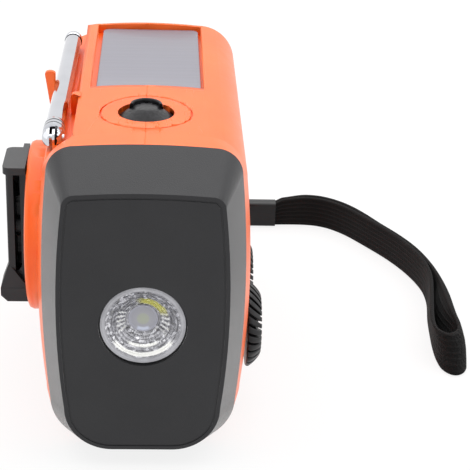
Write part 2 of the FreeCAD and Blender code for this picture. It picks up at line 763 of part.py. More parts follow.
def upright_edges(solid, x):
    """The solid's edges along Z at x."""
    return [e for e in solid.Edges if abs(e.Vertexes[0].Z - e.Vertexes[-1].Z) > 1e-6
            and abs(e.Vertexes[0].X - x) < 1e-6]


def level_outline(x0, x1, y0, y1, z):
    corners = [Vector(x0, y0, z), Vector(x1, y0, z), Vector(x1, y1, z), Vector(x0, y1, z)]
    return Part.makePolygon(corners + [corners[0]])


def crank_pieces():
    """The folding crank: hub and forked arm, grip on its stem, pins, and the shaft through the boss."""
    end_y = crank_y + arm_length
    arm_face = wire_face([Vector(-arm_outer, crank_y, crank_z - arm_root),
                          Vector(-arm_outer, end_y, crank_z - arm_tip),
                          Vector(-arm_outer, end_y, crank_z + arm_tip),
                          Vector(-arm_outer, crank_y, crank_z + arm_root)])
    arm = arm_face.extrude(X * arm_thickness).fuse(rod(arm_root, -arm_outer, -arm_inner, crank_y, crank_z))
    tip = rod(arm_tip, -arm_outer, -arm_inner, end_y, crank_z)
    slot_half = grip_radius + grip_clear
    slot_start = end_y - grip_length - grip_block / 2 - 2.0
    slot = box(-arm_outer - 5, -arm_inner + 5, slot_start, end_y + arm_tip + 2, crank_z - slot_half,
               crank_z + slot_half)
    arm = arm.fuse(tip).cut(slot)
    arm = arm.cut(rod_z(grip_pin_radius + press, crank_z - 20, crank_z + 20, -grip_axis_x, end_y))
    block_half = grip_radius - 0.2
    stem = box(-grip_axis_x - block_half, -grip_axis_x + block_half, end_y - grip_block / 2, end_y,
               crank_z - block_half, crank_z + block_half)
    stem = stem.fuse(rod_z(block_half, crank_z - block_half, crank_z + block_half, -grip_axis_x, end_y))
    grip_far = end_y - grip_block / 2 - 0.2
    grip_near = grip_far - grip_length + grip_head + 0.4
    stem = stem.fuse(rod_y(grip_stem_radius, grip_near - 0.2, end_y, -grip_axis_x, crank_z))
    stem = stem.fuse(rod_y(grip_head_radius, grip_near - 0.2 - grip_head, grip_near - 0.2, -grip_axis_x, crank_z))
    stem = stem.cut(rod_z(grip_pin_radius + running, crank_z - 10, crank_z + 10, -grip_axis_x, end_y))
    grip = turned_y([(grip_near, grip_stem_radius + running), (grip_near, grip_radius - 0.5),
                     (grip_near + 0.5, grip_radius), (grip_far - 0.5, grip_radius), (grip_far, grip_radius - 0.5),
                     (grip_far, grip_stem_radius + running)], -grip_axis_x, crank_z)
    pin = rod_z(grip_pin_radius, crank_z - arm_tip + 0.2, crank_z + arm_tip - 0.2, -grip_axis_x, end_y)
    stem = stem.removeSplitter()
    for piece in (arm, stem, grip, pin):
        piece.rotate(Vector(0, crank_y, crank_z), X, crank_rest)
    head_seat = -barrel_reach + screw_head_depth
    bore = rod(shaft_radius + press, head_seat - 0.1, 0, crank_y, crank_z)
    recess = rod(crank_screw_head + 0.6, -barrel_reach - 5, head_seat, crank_y, crank_z)
    whole = fused(hub() + [arm]).cut(bore).cut(recess)
    shaft = rod(shaft_radius, head_seat + 0.2, second_gear_x - 0.2, crank_y, crank_z)
    shaft = shaft.fuse(rod(shaft_tail_radius, second_gear_x - 0.3, generator_x - 0.1, crank_y, crank_z))
    screw = turned([(-barrel_reach + 0.2, 0), (-barrel_reach + 0.2, crank_screw_head - 0.4),
                    (-barrel_reach + 0.6, crank_screw_head), (head_seat, crank_screw_head),
                    (head_seat + 0.2, 0)], crank_y, crank_z)
    bush = rod(bush_radius, -boss_face, -boss_face + bush_length, crank_y, crank_z)
    bush = bush.cut(rod(shaft_radius + running, -boss_face - 1, 0, crank_y, crank_z))
    return {"crank_arm": whole.removeSplitter(), "grip_stem": stem, "crank_grip": grip,
            "grip_pin": pin, "crank_shaft": shaft, "crank_screw": screw, "crank_bush": bush}


def mesh_turn(teeth, direction, driver_teeth, driver_turn):
    """The turn that puts a tooth gap of the follower on the driver's tooth along the line of centres."""
    driver_phase = (direction - driver_turn) * driver_teeth / 360.0
    follower_direction = direction + 180.0
    wanted_phase = 0.5 - driver_phase
    return follower_direction - wanted_phase * 360.0 / teeth


def gear_pieces():
    """The step-up train: drive gear on the crank shaft, a double idler and the pinion on the generator."""
    hub_radius = 4.4
    drive = gear(drive_teeth, drive_gear_x, gear_width, crank_y, crank_z)
    drive = drive.cut(rod(shaft_radius + press, -60, 0, crank_y, crank_z))
    small_turn = mesh_turn(idler_small_teeth, idler_angle, drive_teeth, 0.0)
    small = gear(idler_small_teeth, drive_gear_x, gear_width + gear_gap + 0.1, idler_y, idler_z, small_turn)
    big = gear(idler_big_teeth, second_gear_x, gear_width, idler_y, idler_z, small_turn)
    idler = small.fuse(big).cut(rod(idler_axle_radius + running, -60, 0, idler_y, idler_z))
    pinion_turn = mesh_turn(generator_teeth, generator_angle, idler_big_teeth, small_turn)
    pinion = gear(generator_teeth, second_gear_x, gear_width, generator_y, generator_z, pinion_turn)
    pinion = pinion.cut(rod(generator_shaft_radius, -60, 0, generator_y, generator_z))
    pinion = pinion.fuse(rod(generator_shaft_radius, second_gear_x, generator_x + 1.0, generator_y, generator_z))
    axle = rod(idler_axle_radius, drive_gear_x - 0.3, generator_x, idler_y, idler_z)
    plate = wire_face([Vector(gearbox_x, y, z) for y, z in gearbox_outline]).extrude(X * gearbox_thickness)
    across = [e for e in plate.Edges if abs(e.Vertexes[0].X - e.Vertexes[-1].X) > 1e-6]
    plate = plate.makeFillet(gearbox_corner, across)
    plate = plate.cut(rod(shaft_tail_radius + running, -60, 0, crank_y, crank_z))
    plate = plate.cut(rod(idler_axle_radius + press, -60, 0, idler_y, idler_z))
    plate = plate.cut(rod(generator_shaft_radius + 1.2, -60, 0, generator_y, generator_z))
    for y, z in pillar_places:
        plate = plate.cut(rod(small_screw_radius + press, -60, 0, y, z))
    body = rod(generator_radius, generator_x, generator_x + generator_length, generator_y, generator_z)
    body = body.cut(rod(generator_shaft_radius + running, -60, generator_x + 1.2, generator_y, generator_z))
    return {"drive_gear": drive.fuse(collar(hub_radius)), "idler_gear": idler, "generator_pinion": pinion,
            "idler_axle": axle, "gearbox_plate": plate, "generator": body}


def collar(radius):
    ring = rod(radius, drive_gear_x - 1.2, drive_gear_x + 0.1, crank_y, crank_z)
    return ring.cut(rod(shaft_radius + press, -60, 0, crank_y, crank_z))


def antenna_pieces():
    """The pivot mount and pin, the knuckle on the outer tube, and the nested tubes with the tip on the last."""
    pieces = {}
    x, z = antenna_x, antenna_z
    foot_top = rebate_floor - wall
    stalk = box(x - tongue_half, x + tongue_half, antenna_pivot_y - tongue_radius, antenna_pivot_y + tongue_radius,
                foot_top - antenna_foot, z)
    tongue = rod(tongue_radius, x - tongue_half, x + tongue_half, antenna_pivot_y, z)
    foot = box(x + antenna_foot_inner, x + antenna_foot_outer, antenna_pivot_y - antenna_foot_half,
               antenna_pivot_y + antenna_foot_half, foot_top - antenna_foot, foot_top)
    mount = fused([stalk, tongue, foot])
    mount = mount.cut(rod(antenna_pin_radius + running, x - 5, x + 5, antenna_pivot_y, z))
    pieces["antenna_mount"] = mount
    knuckle_end = antenna_pivot_y + knuckle_length
    knuckle = rod_y(knuckle_radius, antenna_pivot_y, knuckle_end, x, z)
    knuckle = knuckle.fuse(Part.makeSphere(knuckle_radius, Vector(x, antenna_pivot_y, z)))
    slot = box(x - tongue_half - running, x + tongue_half + running, antenna_pivot_y - 5, antenna_pivot_y + 2.3,
               z - 5, z + 5)
    knuckle = knuckle.cut(slot)
    knuckle = knuckle.cut(rod(antenna_pin_radius + press, x - 5, x + 5, antenna_pivot_y, z))
    for groove_y in (knuckle_end - 3.2, knuckle_end - 1.4):
        ring = rod_y(knuckle_radius + 1, groove_y - 0.3, groove_y + 0.3, x, z)
        knuckle = knuckle.cut(ring.cut(rod_y(knuckle_radius - 0.35, groove_y - 1, groove_y + 1, x, z)))
    pieces["antenna_knuckle"] = knuckle
    pieces["antenna_pin"] = rod(antenna_pin_radius, x - knuckle_radius + 0.2, x + knuckle_radius - 0.2,
                                antenna_pivot_y, z)
    last = len(antenna_radii) - 1
    mouth_y = antenna_end_y - antenna_tip_length - 0.2
    for n, radius in enumerate(antenna_radii):
        start = knuckle_end + 0.6 * n
        end = mouth_y if n < last else mouth_y + 0.4
        tube = rod_y(radius, start, end, x, z)
        if n < last:
            bore = antenna_radii[n + 1] + running
            tube = tube.cut(rod_y(bore, start + 0.5, end + 1, x, z))
        pieces["antenna_section_%d" % (n + 1)] = tube
    tip_start = mouth_y + 0.2
    pieces["antenna_tip"] = turned_y([(tip_start, antenna_radii[last] + press), (tip_start, antenna_tip_radius - 0.3),
                                      (tip_start + 0.4, antenna_tip_radius),
                                      (antenna_end_y - 1.2, antenna_tip_radius),
                                      (antenna_end_y - 0.3, antenna_tip_radius - 0.7), (antenna_end_y, 0.8),
                                      (antenna_end_y, 0), (mouth_y + 0.4 + press, 0),
                                      (mouth_y + 0.4 + press, antenna_radii[last] + press)], x, z)
    return pieces


def knob(y, reach):
    """A coarse-fluted knob with a chamfered rim, on a spindle along X."""
    back, face = knob_back, knob_back + reach
    step = 2 * math.pi / knob_teeth
    points = []
    for tooth in range(knob_teeth):
        for share, radius in ((-0.30, knob_radius - knob_tooth_depth), (-0.18, knob_radius),
                              (0.18, knob_radius), (0.30, knob_radius - knob_tooth_depth)):
            angle = (tooth + share) * step
            points.append(Vector(back, radius * math.cos(angle), radius * math.sin(angle)))
    hat = turned([(back, 0), (back, knob_radius + 0.1), (face - knob_chamfer, knob_radius + 0.1),
                  (face, knob_radius - knob_chamfer), (face, 0)])
    body = wire_face(points).extrude(X * reach).common(hat)
    body = body.cut(rod(spindle_radius + press, back - 1, face - 1.2, 0, 0))
    body.translate(Vector(0, y, knob_z))
    return body


def front_pieces():
    """The knobs and spindles with what they turn, the dial, the band switch, the board and the speaker."""
    tuner = box(board_face, board_face + tuner_depth, tuning_y - tuner_size / 2, tuning_y + tuner_size / 2,
                knob_z - tuner_size / 2, knob_z + tuner_size / 2)
    tuner = tuner.cut(rod(spindle_radius + running, board_face + 3, 40, tuning_y, knob_z))
    pot = rod(pot_radius, board_face, board_face + pot_depth, volume_y, knob_z)
    pot = pot.cut(rod(spindle_radius + running, board_face + 3, 40, volume_y, knob_z))
    tuning_spindle = rod(spindle_radius, board_face + 3.2, knob_back + tuning_reach - 1.4, tuning_y, knob_z)
    volume_spindle = rod(spindle_radius, board_face + 3.2, knob_back + volume_reach - 1.4, volume_y, knob_z)
    dial = rod(dial_radius, dial_x, dial_x + dial_thickness, tuning_y, knob_z)
    dial = dial.fuse(rod(spindle_radius + 2.0, dial_x - 1.6, dial_x + 0.1, tuning_y, knob_z))
    dial = dial.cut(rod(spindle_radius + press, 0, 40, tuning_y, knob_z))
    skin = case_form(0.35).cut(case_form(wall))
    window = window_sector(window_clear, 15, body_half + 2).common(skin)
    band_base = band_y - band_travel / 2
    slider = box(board_face + 9.0, 23.2, band_base - 1.2, band_base + 1.2, band_z - 1.0, band_z + 1.0)
    slider = slider.fuse(box(23.0, band_reach, band_base - band_knob / 2, band_base + band_knob / 2,
                             band_z - band_slot_height / 2 + 0.2, band_z + band_slot_height / 2 - 0.2))
    switch = box(board_face, board_face + 8.8, band_y - 9, band_y + 9, band_z - 3, band_z + 3)
    board = box(board_x, board_face, board_near_y, board_far_y, board_low, board_high)
    for y, z in standoff_places:
        board = board.cut(rod(small_screw_radius + press, 0, 20, y, z))
    seat, rim = speaker_seat, speaker_radius - speaker_rim
    basket = turned([(seat, rim), (seat, speaker_radius), (seat - 2.4, speaker_radius),
                     (seat - 5.4, speaker_magnet_radius + 1.8), (seat - 5.4, speaker_magnet_radius),
                     (seat - speaker_depth, speaker_magnet_radius), (seat - speaker_depth, 0), (seat - 4.8, 0),
                     (seat - 4.8, speaker_magnet_radius + 0.4), (seat - 1.8, rim - 0.7), (seat - 1.4, rim)],
                    speaker_y, speaker_z)
    cone = turned([(seat - 0.2, rim - running), (seat - 1.3, rim - running), (seat - 1.6, rim - 1.3),
                   (seat - 4.2, 5.0), (seat - 4.7, 4.4), (seat - 4.7, 0), (seat - 2.2, 0), (seat - 2.5, 2.6), (seat - 3.4, 5.0), (seat - 0.8, rim - 1.7),
                   (seat - 0.2, rim - 1.0)], speaker_y, speaker_z)
    return {"tuning_knob": knob(tuning_y, tuning_reach), "volume_knob": knob(volume_y, volume_reach),
            "tuning_spindle": tuning_spindle, "volume_spindle": volume_spindle, "tuning_capacitor": tuner, "volume_pot": pot, "tuning_dial": dial,
            "dial_window": window, "band_switch": slider, "band_switch_body": switch, "main_board": board,
            "speaker": basket, "speaker_cone": cone}


def power_pieces():
    """The cell and its holder, the ferrite rod, the sockets on their board and the rubber cover."""
    cell = rod_y(battery_radius, battery_y, battery_y + battery_length, battery_x, battery_z)
    cell = cell.fuse(rod_y(2.8, battery_y + battery_length, battery_y + battery_length + nub_length, battery_x,
                           battery_z))
    holder = box(battery_x - battery_radius - 0.8, battery_x + battery_radius - 1.0, battery_y - holder_end,
                 battery_end, wall, battery_z - 2.0).common(case_form(wall + 0.1))
    holder = holder.cut(rod_y(battery_radius + 0.1, battery_y - 0.1, battery_end - holder_wall + 0.1,
                              battery_x, battery_z))
    ferrite = rod_y(ferrite_radius, ferrite_start, ferrite_start + ferrite_length, ferrite_x, ferrite_z)
    board = box(port_left + 0.4, port_right - 0.2, port_y - port_board_length, port_y - port_recess - 2.0,
                port_board_top - 1.4, port_board_top)
    usb = box(usb_x - usb_width / 2, usb_x + usb_width / 2, port_y - port_recess - usb_length,
              port_y - port_recess - 0.1, port_board_top, port_board_top + usb_height)
    hollow = box(usb_x - usb_width / 2 + usb_skin, usb_x + usb_width / 2 - usb_skin,
                 port_y - port_recess - usb_length + 3, port_y, port_board_top + usb_skin,
                 port_board_top + usb_height - usb_skin)
    tongue = box(usb_x - 5.6, usb_x + 5.6, port_y - port_recess - usb_length + 2, port_y - port_recess - 0.9,
                 port_board_top + usb_height - 0.9 - usb_tongue, port_board_top + usb_height - 0.9)
    usb = usb.cut(hollow).fuse(tongue)
    charge = box(charge_x - charge_width / 2, charge_x + charge_width / 2, port_y - port_recess - charge_length,
                 port_y - port_recess - 0.1, port_board_top, port_board_top + charge_height)
    slot = box(charge_x - charge_width / 2 + usb_skin, charge_x + charge_width / 2 - usb_skin,
               port_y - port_recess - charge_length + 1, port_y, port_board_top + usb_skin,
               port_board_top + charge_height - usb_skin)
    blade = box(charge_x - 2.6, charge_x + 2.6, port_y - port_recess - charge_length + 0.5,
                port_y - port_recess - 0.6, port_board_top + 1.2, port_board_top + 1.8)
    charge = charge.cut(slot).fuse(blade)
    side = 0.2
    cover = rounded_plate(port_left + side, port_right - side, port_low + side, port_high - side, port_corner - side,
                          port_y - cover_thickness, port_y)
    lip = box(port_right - 4.6, port_right - 1.4, port_y - 0.4, port_y + 0.8, (port_low + port_high) / 2 - 3.0,
              (port_low + port_high) / 2 + 3.0)
    hinge_x = port_left + side + cover_bead
    bead = rod_z(cover_bead, port_low + port_corner, port_high - port_corner, hinge_x, port_y - cover_bead / 5)
    cover = cover.cut(box(port_left - 1, hinge_x, port_y - 3, port_y + 1, port_low, port_high)).fuse(bead)
    return {"battery": cell, "battery_holder": holder, "ferrite_rod": ferrite, "port_board": board,
            "usb_socket": usb, "charge_socket": charge, "port_cover": cover.fuse(lip)}


def case_screws():
    screws = []
    for y, z in screw_places:
        head = rod(screw_head_radius, -screw_seat - screw_head, -screw_seat, y, z)
        slot = box(-screw_seat - screw_head - 1, -screw_seat - screw_head + 0.8, y - 0.35, y + 0.35, z - 3, z + 3)
        screws.append(head.cut(slot).fuse(rod(screw_radius, -screw_seat, screw_bite, y, z)))
    return Part.makeCompound(screws)


def small_screw(place, turn=None):
    """A short slotted screw along -X with its head's underside at the origin, moved to its place."""
    head = rod(small_screw_head_radius, 0, small_screw_head, 0, 0)
    head = head.cut(box(small_screw_head - 0.5, small_screw_head + 1, -0.3, 0.3, -3, 3))
    screw = head.fuse(rod(small_screw_radius, -small_screw_bite - board_thickness, 0, 0, 0))
    if turn:
        screw.rotate(Vector(0, 0, 0), turn[0], turn[1])
    screw.translate(place)
    return screw


def inside_screws():
    gearbox = [small_screw(Vector(generator_x, y, z)) for y, z in pillar_places]
    boards = [small_screw(Vector(board_x, y, z), (Z, 180)) for y, z in standoff_places]
    boards += [small_screw(Vector(x, y, switch_low_z - board_sheet), (Y, 90)) for x, y in leg_places]
    return {"gearbox_screws": Part.makeCompound(gearbox), "board_screws": Part.makeCompound(boards)}


def tangent_route(corners):
    """Straight runs joined by tangent arcs, each as large as its two runs allow. Returns the edges and the radii."""
    start, edges, radii = corners[0], [], []
    for before, here, after in zip(corners, corners[1:], corners[2:]):
        back, on = before - here, after - here
        turn = math.pi - back.getAngle(on)
        trim = 0.45 * min(back.Length, on.Length)
        radius = trim / math.tan(turn / 2)
        back.normalize()
        on.normalize()
        enter, leave = here + back * trim, here + on * trim
        middle = back + on
        middle.normalize()
        top = here + middle * (math.hypot(trim, radius) - radius)
        edges.append(Part.LineSegment(start, enter).toShape())
        edges.append(arc(enter, top, leave))
        start = leave
        radii.append(round(radius, 1))
    edges.append(Part.LineSegment(start, corners[-1]).toShape())
    return edges, radii


def swept(edges, profile, flat):
    pipe = Part.BRepOffsetAPI.MakePipeShell(Part.Wire(edges))
    if flat:
        pipe.setBiNormalMode(Z)
    pipe.add(profile)
    pipe.build()
    pipe.makeSolid()
    return Part.Solid(pipe.shape())


def eight_sided(radius, centre, along):
    """The thin cord's outline, across its direction."""
    side = along.cross(Z)
    side.normalize()
    up = side.cross(along)
    ring = []
    for n in range(8):
        angle = n * math.pi / 4
        ring.append(centre + side * (radius * math.cos(angle)) + up * (radius * math.sin(angle)))
    return Part.makePolygon(ring + [ring[0]])


def report_sweep(name, edges, radii, area, solid):
    length = sum(e.Length for e in edges)
    print("%s: length %.1f, volume %.1f, section times length %.1f, radii %s"
          % (name, length, solid.Volume, length * area, radii))


def strap_pieces():
    """The webbing loop on its edge, the plastic sleeve and the thin cord through the case's eye."""
    middle = strap_low + strap_width / 2
    edges, radii = tangent_route([Vector(x, y, middle) for x, y in strap_route])
    start = edges[0].Vertexes[0].Point
    along = edges[0].tangentAt(edges[0].FirstParameter)
    across = Vector(-along.y, along.x, 0) * (strap_thickness / 2)
    rise = Z * (strap_width / 2)
    ring = [start + across + rise, start + across - rise, start - across - rise, start - across + rise]
    webbing = swept(edges, Part.makePolygon(ring + [ring[0]]), True)
    report_sweep("webbing", edges, radii, strap_width * strap_thickness, webbing)
    edges, radii = tangent_route([Vector(x, y, z) for x, y, z in string_route])
    start = edges[0].Vertexes[0].Point
    along = edges[0].tangentAt(edges[0].FirstParameter)
    string = swept(edges, eight_sided(string_radius, start, along), False)
    report_sweep("cord", edges, radii, 2 * math.sqrt(2) * string_radius ** 2, string)
    sleeve = box(ferrule_start, ferrule_start + ferrule_length, ferrule_y - ferrule_thickness / 2,
                 ferrule_y + ferrule_thickness / 2, 0, ferrule_height)
    long_edges = [e for e in sleeve.Edges if abs(e.Vertexes[0].X - e.Vertexes[-1].X) > 1e-6]
    sleeve = sleeve.makeChamfer(ferrule_chamfer, long_edges).cut(webbing).cut(string)
    return {"strap_webbing": webbing, "strap_cord": string, "strap_ferrule": sleeve}


def main():
    os.makedirs("parts", exist_ok=True)
    pieces = {}
    for group in (lamp_pieces, case_pieces, top_pieces, crank_pieces, gear_pieces, antenna_pieces, front_pieces,
                  power_pieces, strap_pieces):
        pieces.update(group())
    pieces["case_screws"] = case_screws()
    pieces.update(inside_screws())
    for name, shape in sorted(pieces.items()):
        if not shape.isValid():
            print("not valid:", name)
        shape.exportStep("parts/%s.step" % name)
        print("%-20s solids %d volume %.1f" % (name, len(shape.Solids), shape.Volume))


main()
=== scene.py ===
"""Looks for the hand crank weather radio: orange moulded case, dark lamp end cap with its optic, chrome
antenna, solar panel, rubber button, ribbed knobs and a webbing wrist strap that stands on its edge.
Shapes are given in millimetres, and the camera, the lights and the patterns in metres."""
import bpy
import bmesh
import math
from mathutils import Matrix, Vector


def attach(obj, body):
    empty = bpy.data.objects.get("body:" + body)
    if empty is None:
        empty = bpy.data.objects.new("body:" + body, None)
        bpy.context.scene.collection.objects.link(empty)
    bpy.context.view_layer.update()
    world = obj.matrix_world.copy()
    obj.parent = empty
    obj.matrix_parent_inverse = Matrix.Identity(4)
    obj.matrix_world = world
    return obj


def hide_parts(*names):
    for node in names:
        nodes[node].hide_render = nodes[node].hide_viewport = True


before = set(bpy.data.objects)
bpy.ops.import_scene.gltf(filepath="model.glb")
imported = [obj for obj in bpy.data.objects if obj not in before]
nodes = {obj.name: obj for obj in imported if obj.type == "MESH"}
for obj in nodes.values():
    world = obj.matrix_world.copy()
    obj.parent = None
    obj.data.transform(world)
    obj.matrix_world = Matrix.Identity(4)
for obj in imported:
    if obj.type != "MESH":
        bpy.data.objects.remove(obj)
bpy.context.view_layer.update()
MM = 0.001

# Places that more than one piece goes by
optic_middle = (0.0, 37.4)
optic_front = -56.75
button_y = -25.6
sleeve_mouth = 40.2


def mm(*place):
    """A place or a move in millimetres, in the metres that Blender works in."""
    return [part * MM for part in place]


# Camera at the photograph's viewpoint
def place_camera():
    place = (0.00358, -0.34947, 0.19775)
    focal_length, sensor_width = 113.14, 36.0
    yaw, pitch, roll = math.radians(3.21), math.radians(25.13), math.radians(2.11)
    forward = Vector((math.sin(yaw) * math.cos(pitch), math.cos(yaw) * math.cos(pitch), -math.sin(pitch)))
    level = Vector((math.cos(yaw), -math.sin(yaw), 0.0))
    upright = level.cross(forward)
    right = level * math.cos(roll) + upright * math.sin(roll)
    up = upright * math.cos(roll) - level * math.sin(roll)
    view = bpy.data.cameras.new("viewpoint")
    view.sensor_width = sensor_width
    view.lens = focal_length
    view.clip_start = 0.01
    camera = bpy.data.objects.new("viewpoint", view)
    bpy.context.collection.objects.link(camera)
    turn = Matrix((right, up, -forward)).transposed().to_4x4()
    camera.matrix_world = Matrix.Translation(place) @ turn
    bpy.context.scene.camera = camera


place_camera()


# Tools for materials
def new_material(name):
    material = bpy.data.materials.new(name)
    material.use_nodes = True
    tree = material.node_tree
    return material, tree, tree.nodes["Principled BSDF"]


def set_sockets(node, **values):
    """Sets a node's own sockets by name, with an underscore for each space in the name."""
    for name, value in values.items():
        node.inputs[name.replace("_", " ")].default_value = value


def number(tree, kind, *values):
    """A Math node; each value is a socket or a number."""
    node = tree.nodes.new("ShaderNodeMath")
    node.operation = kind
    for place, value in enumerate(values):
        if isinstance(value, (int, float)):
            node.inputs[place].default_value = value
        else:
            tree.links.new(value, node.inputs[place])
    return node.outputs["Value"]


def object_coordinates(tree):
    return tree.nodes.new("ShaderNodeTexCoord").outputs["Object"]


def axes(tree, source):
    """The X, Y and Z of a vector, as sockets."""
    split = tree.nodes.new("ShaderNodeSeparateXYZ")
    tree.links.new(source, split.inputs["Vector"])
    return split.outputs


def grain(tree, scale, detail=2.0, stretch=None):
    noise = tree.nodes.new("ShaderNodeTexNoise")
    set_sockets(noise, Scale=scale, Detail=detail)
    source = object_coordinates(tree)
    if stretch:
        mapping = tree.nodes.new("ShaderNodeMapping")
        set_sockets(mapping, Scale=stretch)
        tree.links.new(source, mapping.inputs["Vector"])
        source = mapping.outputs["Vector"]
    tree.links.new(source, noise.inputs["Vector"])
    return noise.outputs["Fac"]


def ramp(tree, factor, stops):
    """Colours along a factor; each stop is a place from 0 to 1 and a colour."""
    node = tree.nodes.new("ShaderNodeValToRGB")
    while len(node.color_ramp.elements) < len(stops):
        node.color_ramp.elements.new(0.5)
    for element, (place, colour) in zip(node.color_ramp.elements, stops):
        element.position = place
        element.color = (*colour, 1.0)
    tree.links.new(factor, node.inputs["Fac"])
    return node.outputs["Color"]


def mottled(tree, dark, light, scale, detail=3.0, low=0.3):
    """Soft patches of a dark and a light colour."""
    return ramp(tree, grain(tree, scale, detail), [(low, dark), (1 - low, light)])


def value_range(tree, value, low, high, start=0.0, stop=1.0):
    """Maps start to stop onto low to high."""
    node = tree.nodes.new("ShaderNodeMapRange")
    set_sockets(node, From_Min=start, From_Max=stop, To_Min=low, To_Max=high)
    tree.links.new(value, node.inputs["Value"])
    return node.outputs["Result"]


def between(tree, value, low, high, edge):
    """1 where the value is between low and high, with soft edges."""
    sides = []
    for start, stop in ((low - edge, low + edge), (high + edge, high - edge)):
        side = tree.nodes.new("ShaderNodeMapRange")
        side.interpolation_type = "SMOOTHSTEP"
        set_sockets(side, From_Min=min(start, stop), From_Max=max(start, stop),
                    To_Min=0.0 if start < stop else 1.0, To_Max=1.0 if start < stop else 0.0)
        tree.links.new(value, side.inputs["Value"])
        sides.append(side.outputs["Result"])
    return number(tree, "MULTIPLY", *sides)


def blended(tree, share, under, over):
    """The over colour on the under colour, by share; colours are sockets or triples."""
    node = tree.nodes.new("ShaderNodeMix")
    node.data_type = "RGBA"
    tree.links.new(share, node.inputs[0])
    for place, colour in ((6, under), (7, over)):
        if isinstance(colour, tuple):
            node.inputs[place].default_value = (*colour, 1.0)
        else:
            tree.links.new(colour, node.inputs[place])
    return node.outputs[2]


def paint(tree, shader, colour):
    tree.links.new(colour, shader.inputs["Base Color"])


def uneven_gloss(tree, shader, scale, low, high):
    tree.links.new(value_range(tree, grain(tree, scale), low, high), shader.inputs["Roughness"])


def bump(tree, shader, height, strength, distance):
    node = tree.nodes.new("ShaderNodeBump")
    set_sockets(node, Strength=strength, Distance=distance)
    tree.links.new(height, node.inputs["Height"])
    tree.links.new(node.outputs["Normal"], shader.inputs["Normal"])


# Materials
def moulded(name, dark, light, roughness, grain_scale, grain_depth, mottling=90.0, shine=0.5, bloom=0.0):
    """Moulded plastic or rubber: slightly uneven colour, fine spark-eroded grain and uneven gloss."""
    material, tree, shader = new_material(name)
    paint(tree, shader, mottled(tree, dark, light, mottling))
    uneven_gloss(tree, shader, mottling * 4, roughness - 0.04, roughness + 0.04)
    set_sockets(shader, Specular_IOR_Level=shine, Sheen_Weight=bloom, Sheen_Roughness=0.35)
    bump(tree, shader, grain(tree, grain_scale), grain_depth, 0.0001)
    return material


def metal(name, colour, roughness, scratches=None):
    """Metal with a slightly uneven colour and gloss; scratches stretch the fine lines on it."""
    material, tree, shader = new_material(name)
    paint(tree, shader, mottled(tree, tuple(part * 0.92 for part in colour), colour, 150.0))
    uneven_gloss(tree, shader, 400.0, roughness * 0.8, roughness * 1.2)
    set_sockets(shader, Metallic=1.0)
    if scratches:
        bump(tree, shader, grain(tree, 900.0, 2.0, scratches), 0.1, 0.00005)
    return material


orange = moulded("orange_plastic", (0.90, 0.125, 0.012), (0.95, 0.145, 0.017),
                 roughness=0.32, grain_scale=5200.0, grain_depth=0.12, shine=0.35)
dark_grey = moulded("dark_grey_plastic", (0.010, 0.010, 0.012), (0.0135, 0.0135, 0.0155),
                    roughness=0.4, grain_scale=4200.0, grain_depth=0.5, shine=0.4, bloom=0.5)
crank_grey = moulded("crank_plastic", (0.013, 0.014, 0.016), (0.018, 0.019, 0.022),
                     roughness=0.4, grain_scale=5200.0, grain_depth=0.2, shine=0.4)
black_plastic = moulded("black_plastic", (0.006, 0.006, 0.007), (0.010, 0.010, 0.011),
                        roughness=0.3, grain_scale=5000.0, grain_depth=0.15, shine=0.25)
black_rubber = moulded("black_rubber", (0.006, 0.006, 0.007), (0.010, 0.010, 0.011),
                       roughness=0.34, grain_scale=3500.0, grain_depth=0.3, shine=0.4)
button_rubber = moulded("button_rubber", (0.003, 0.003, 0.004), (0.016, 0.016, 0.019),
                        roughness=0.3, grain_scale=1500.0, grain_depth=1.0, mottling=1600.0, shine=0.22)
acetal = moulded("acetal", (0.72, 0.71, 0.66), (0.78, 0.77, 0.72),
                 roughness=0.4, grain_scale=3000.0, grain_depth=0.05)
ferrite_grey = moulded("ferrite", (0.03, 0.03, 0.034), (0.05, 0.05, 0.055),
                       roughness=0.55, grain_scale=2500.0, grain_depth=0.3)
battery_blue = moulded("battery_wrap", (0.02, 0.08, 0.28), (0.03, 0.1, 0.33),
                       roughness=0.3, grain_scale=800.0, grain_depth=0.1)
chrome = metal("chrome", (0.66, 0.67, 0.71), 0.08)
# Dark metal used as painted shade in the antenna's grooves, slot and tip
painted_shade_metal = metal("painted_shade_metal", (0.014, 0.014, 0.016), 0.4)
steel = metal("zinc_steel", (0.55, 0.56, 0.58), 0.3, scratches=(1.0, 1.0, 12.0))
brass = metal("turned_brass", (0.78, 0.58, 0.25), 0.28, scratches=(1.0, 12.0, 1.0))


def circuit_board():
    material, tree, shader = new_material("solder_resist")
    paint(tree, shader, mottled(tree, (0.01, 0.09, 0.03), (0.02, 0.16, 0.06), 700.0, 4.0, low=0.45))
    set_sockets(shader, Roughness=0.3)
    return material


def speaker_paper():
    material, tree, shader = new_material("speaker_paper")
    paint(tree, shader, mottled(tree, (0.02, 0.02, 0.02), (0.045, 0.045, 0.045), 1500.0, 4.0))
    set_sockets(shader, Roughness=0.9)
    bump(tree, shader, grain(tree, 2500.0, 4.0), 0.4, 0.0002)
    return material


def clear_plastic():
    material, tree, shader = new_material("clear_plastic")
    set_sockets(shader, Base_Color=(0.96, 0.97, 0.98, 1.0), Roughness=0.04, IOR=1.49, Transmission_Weight=1.0)
    return material


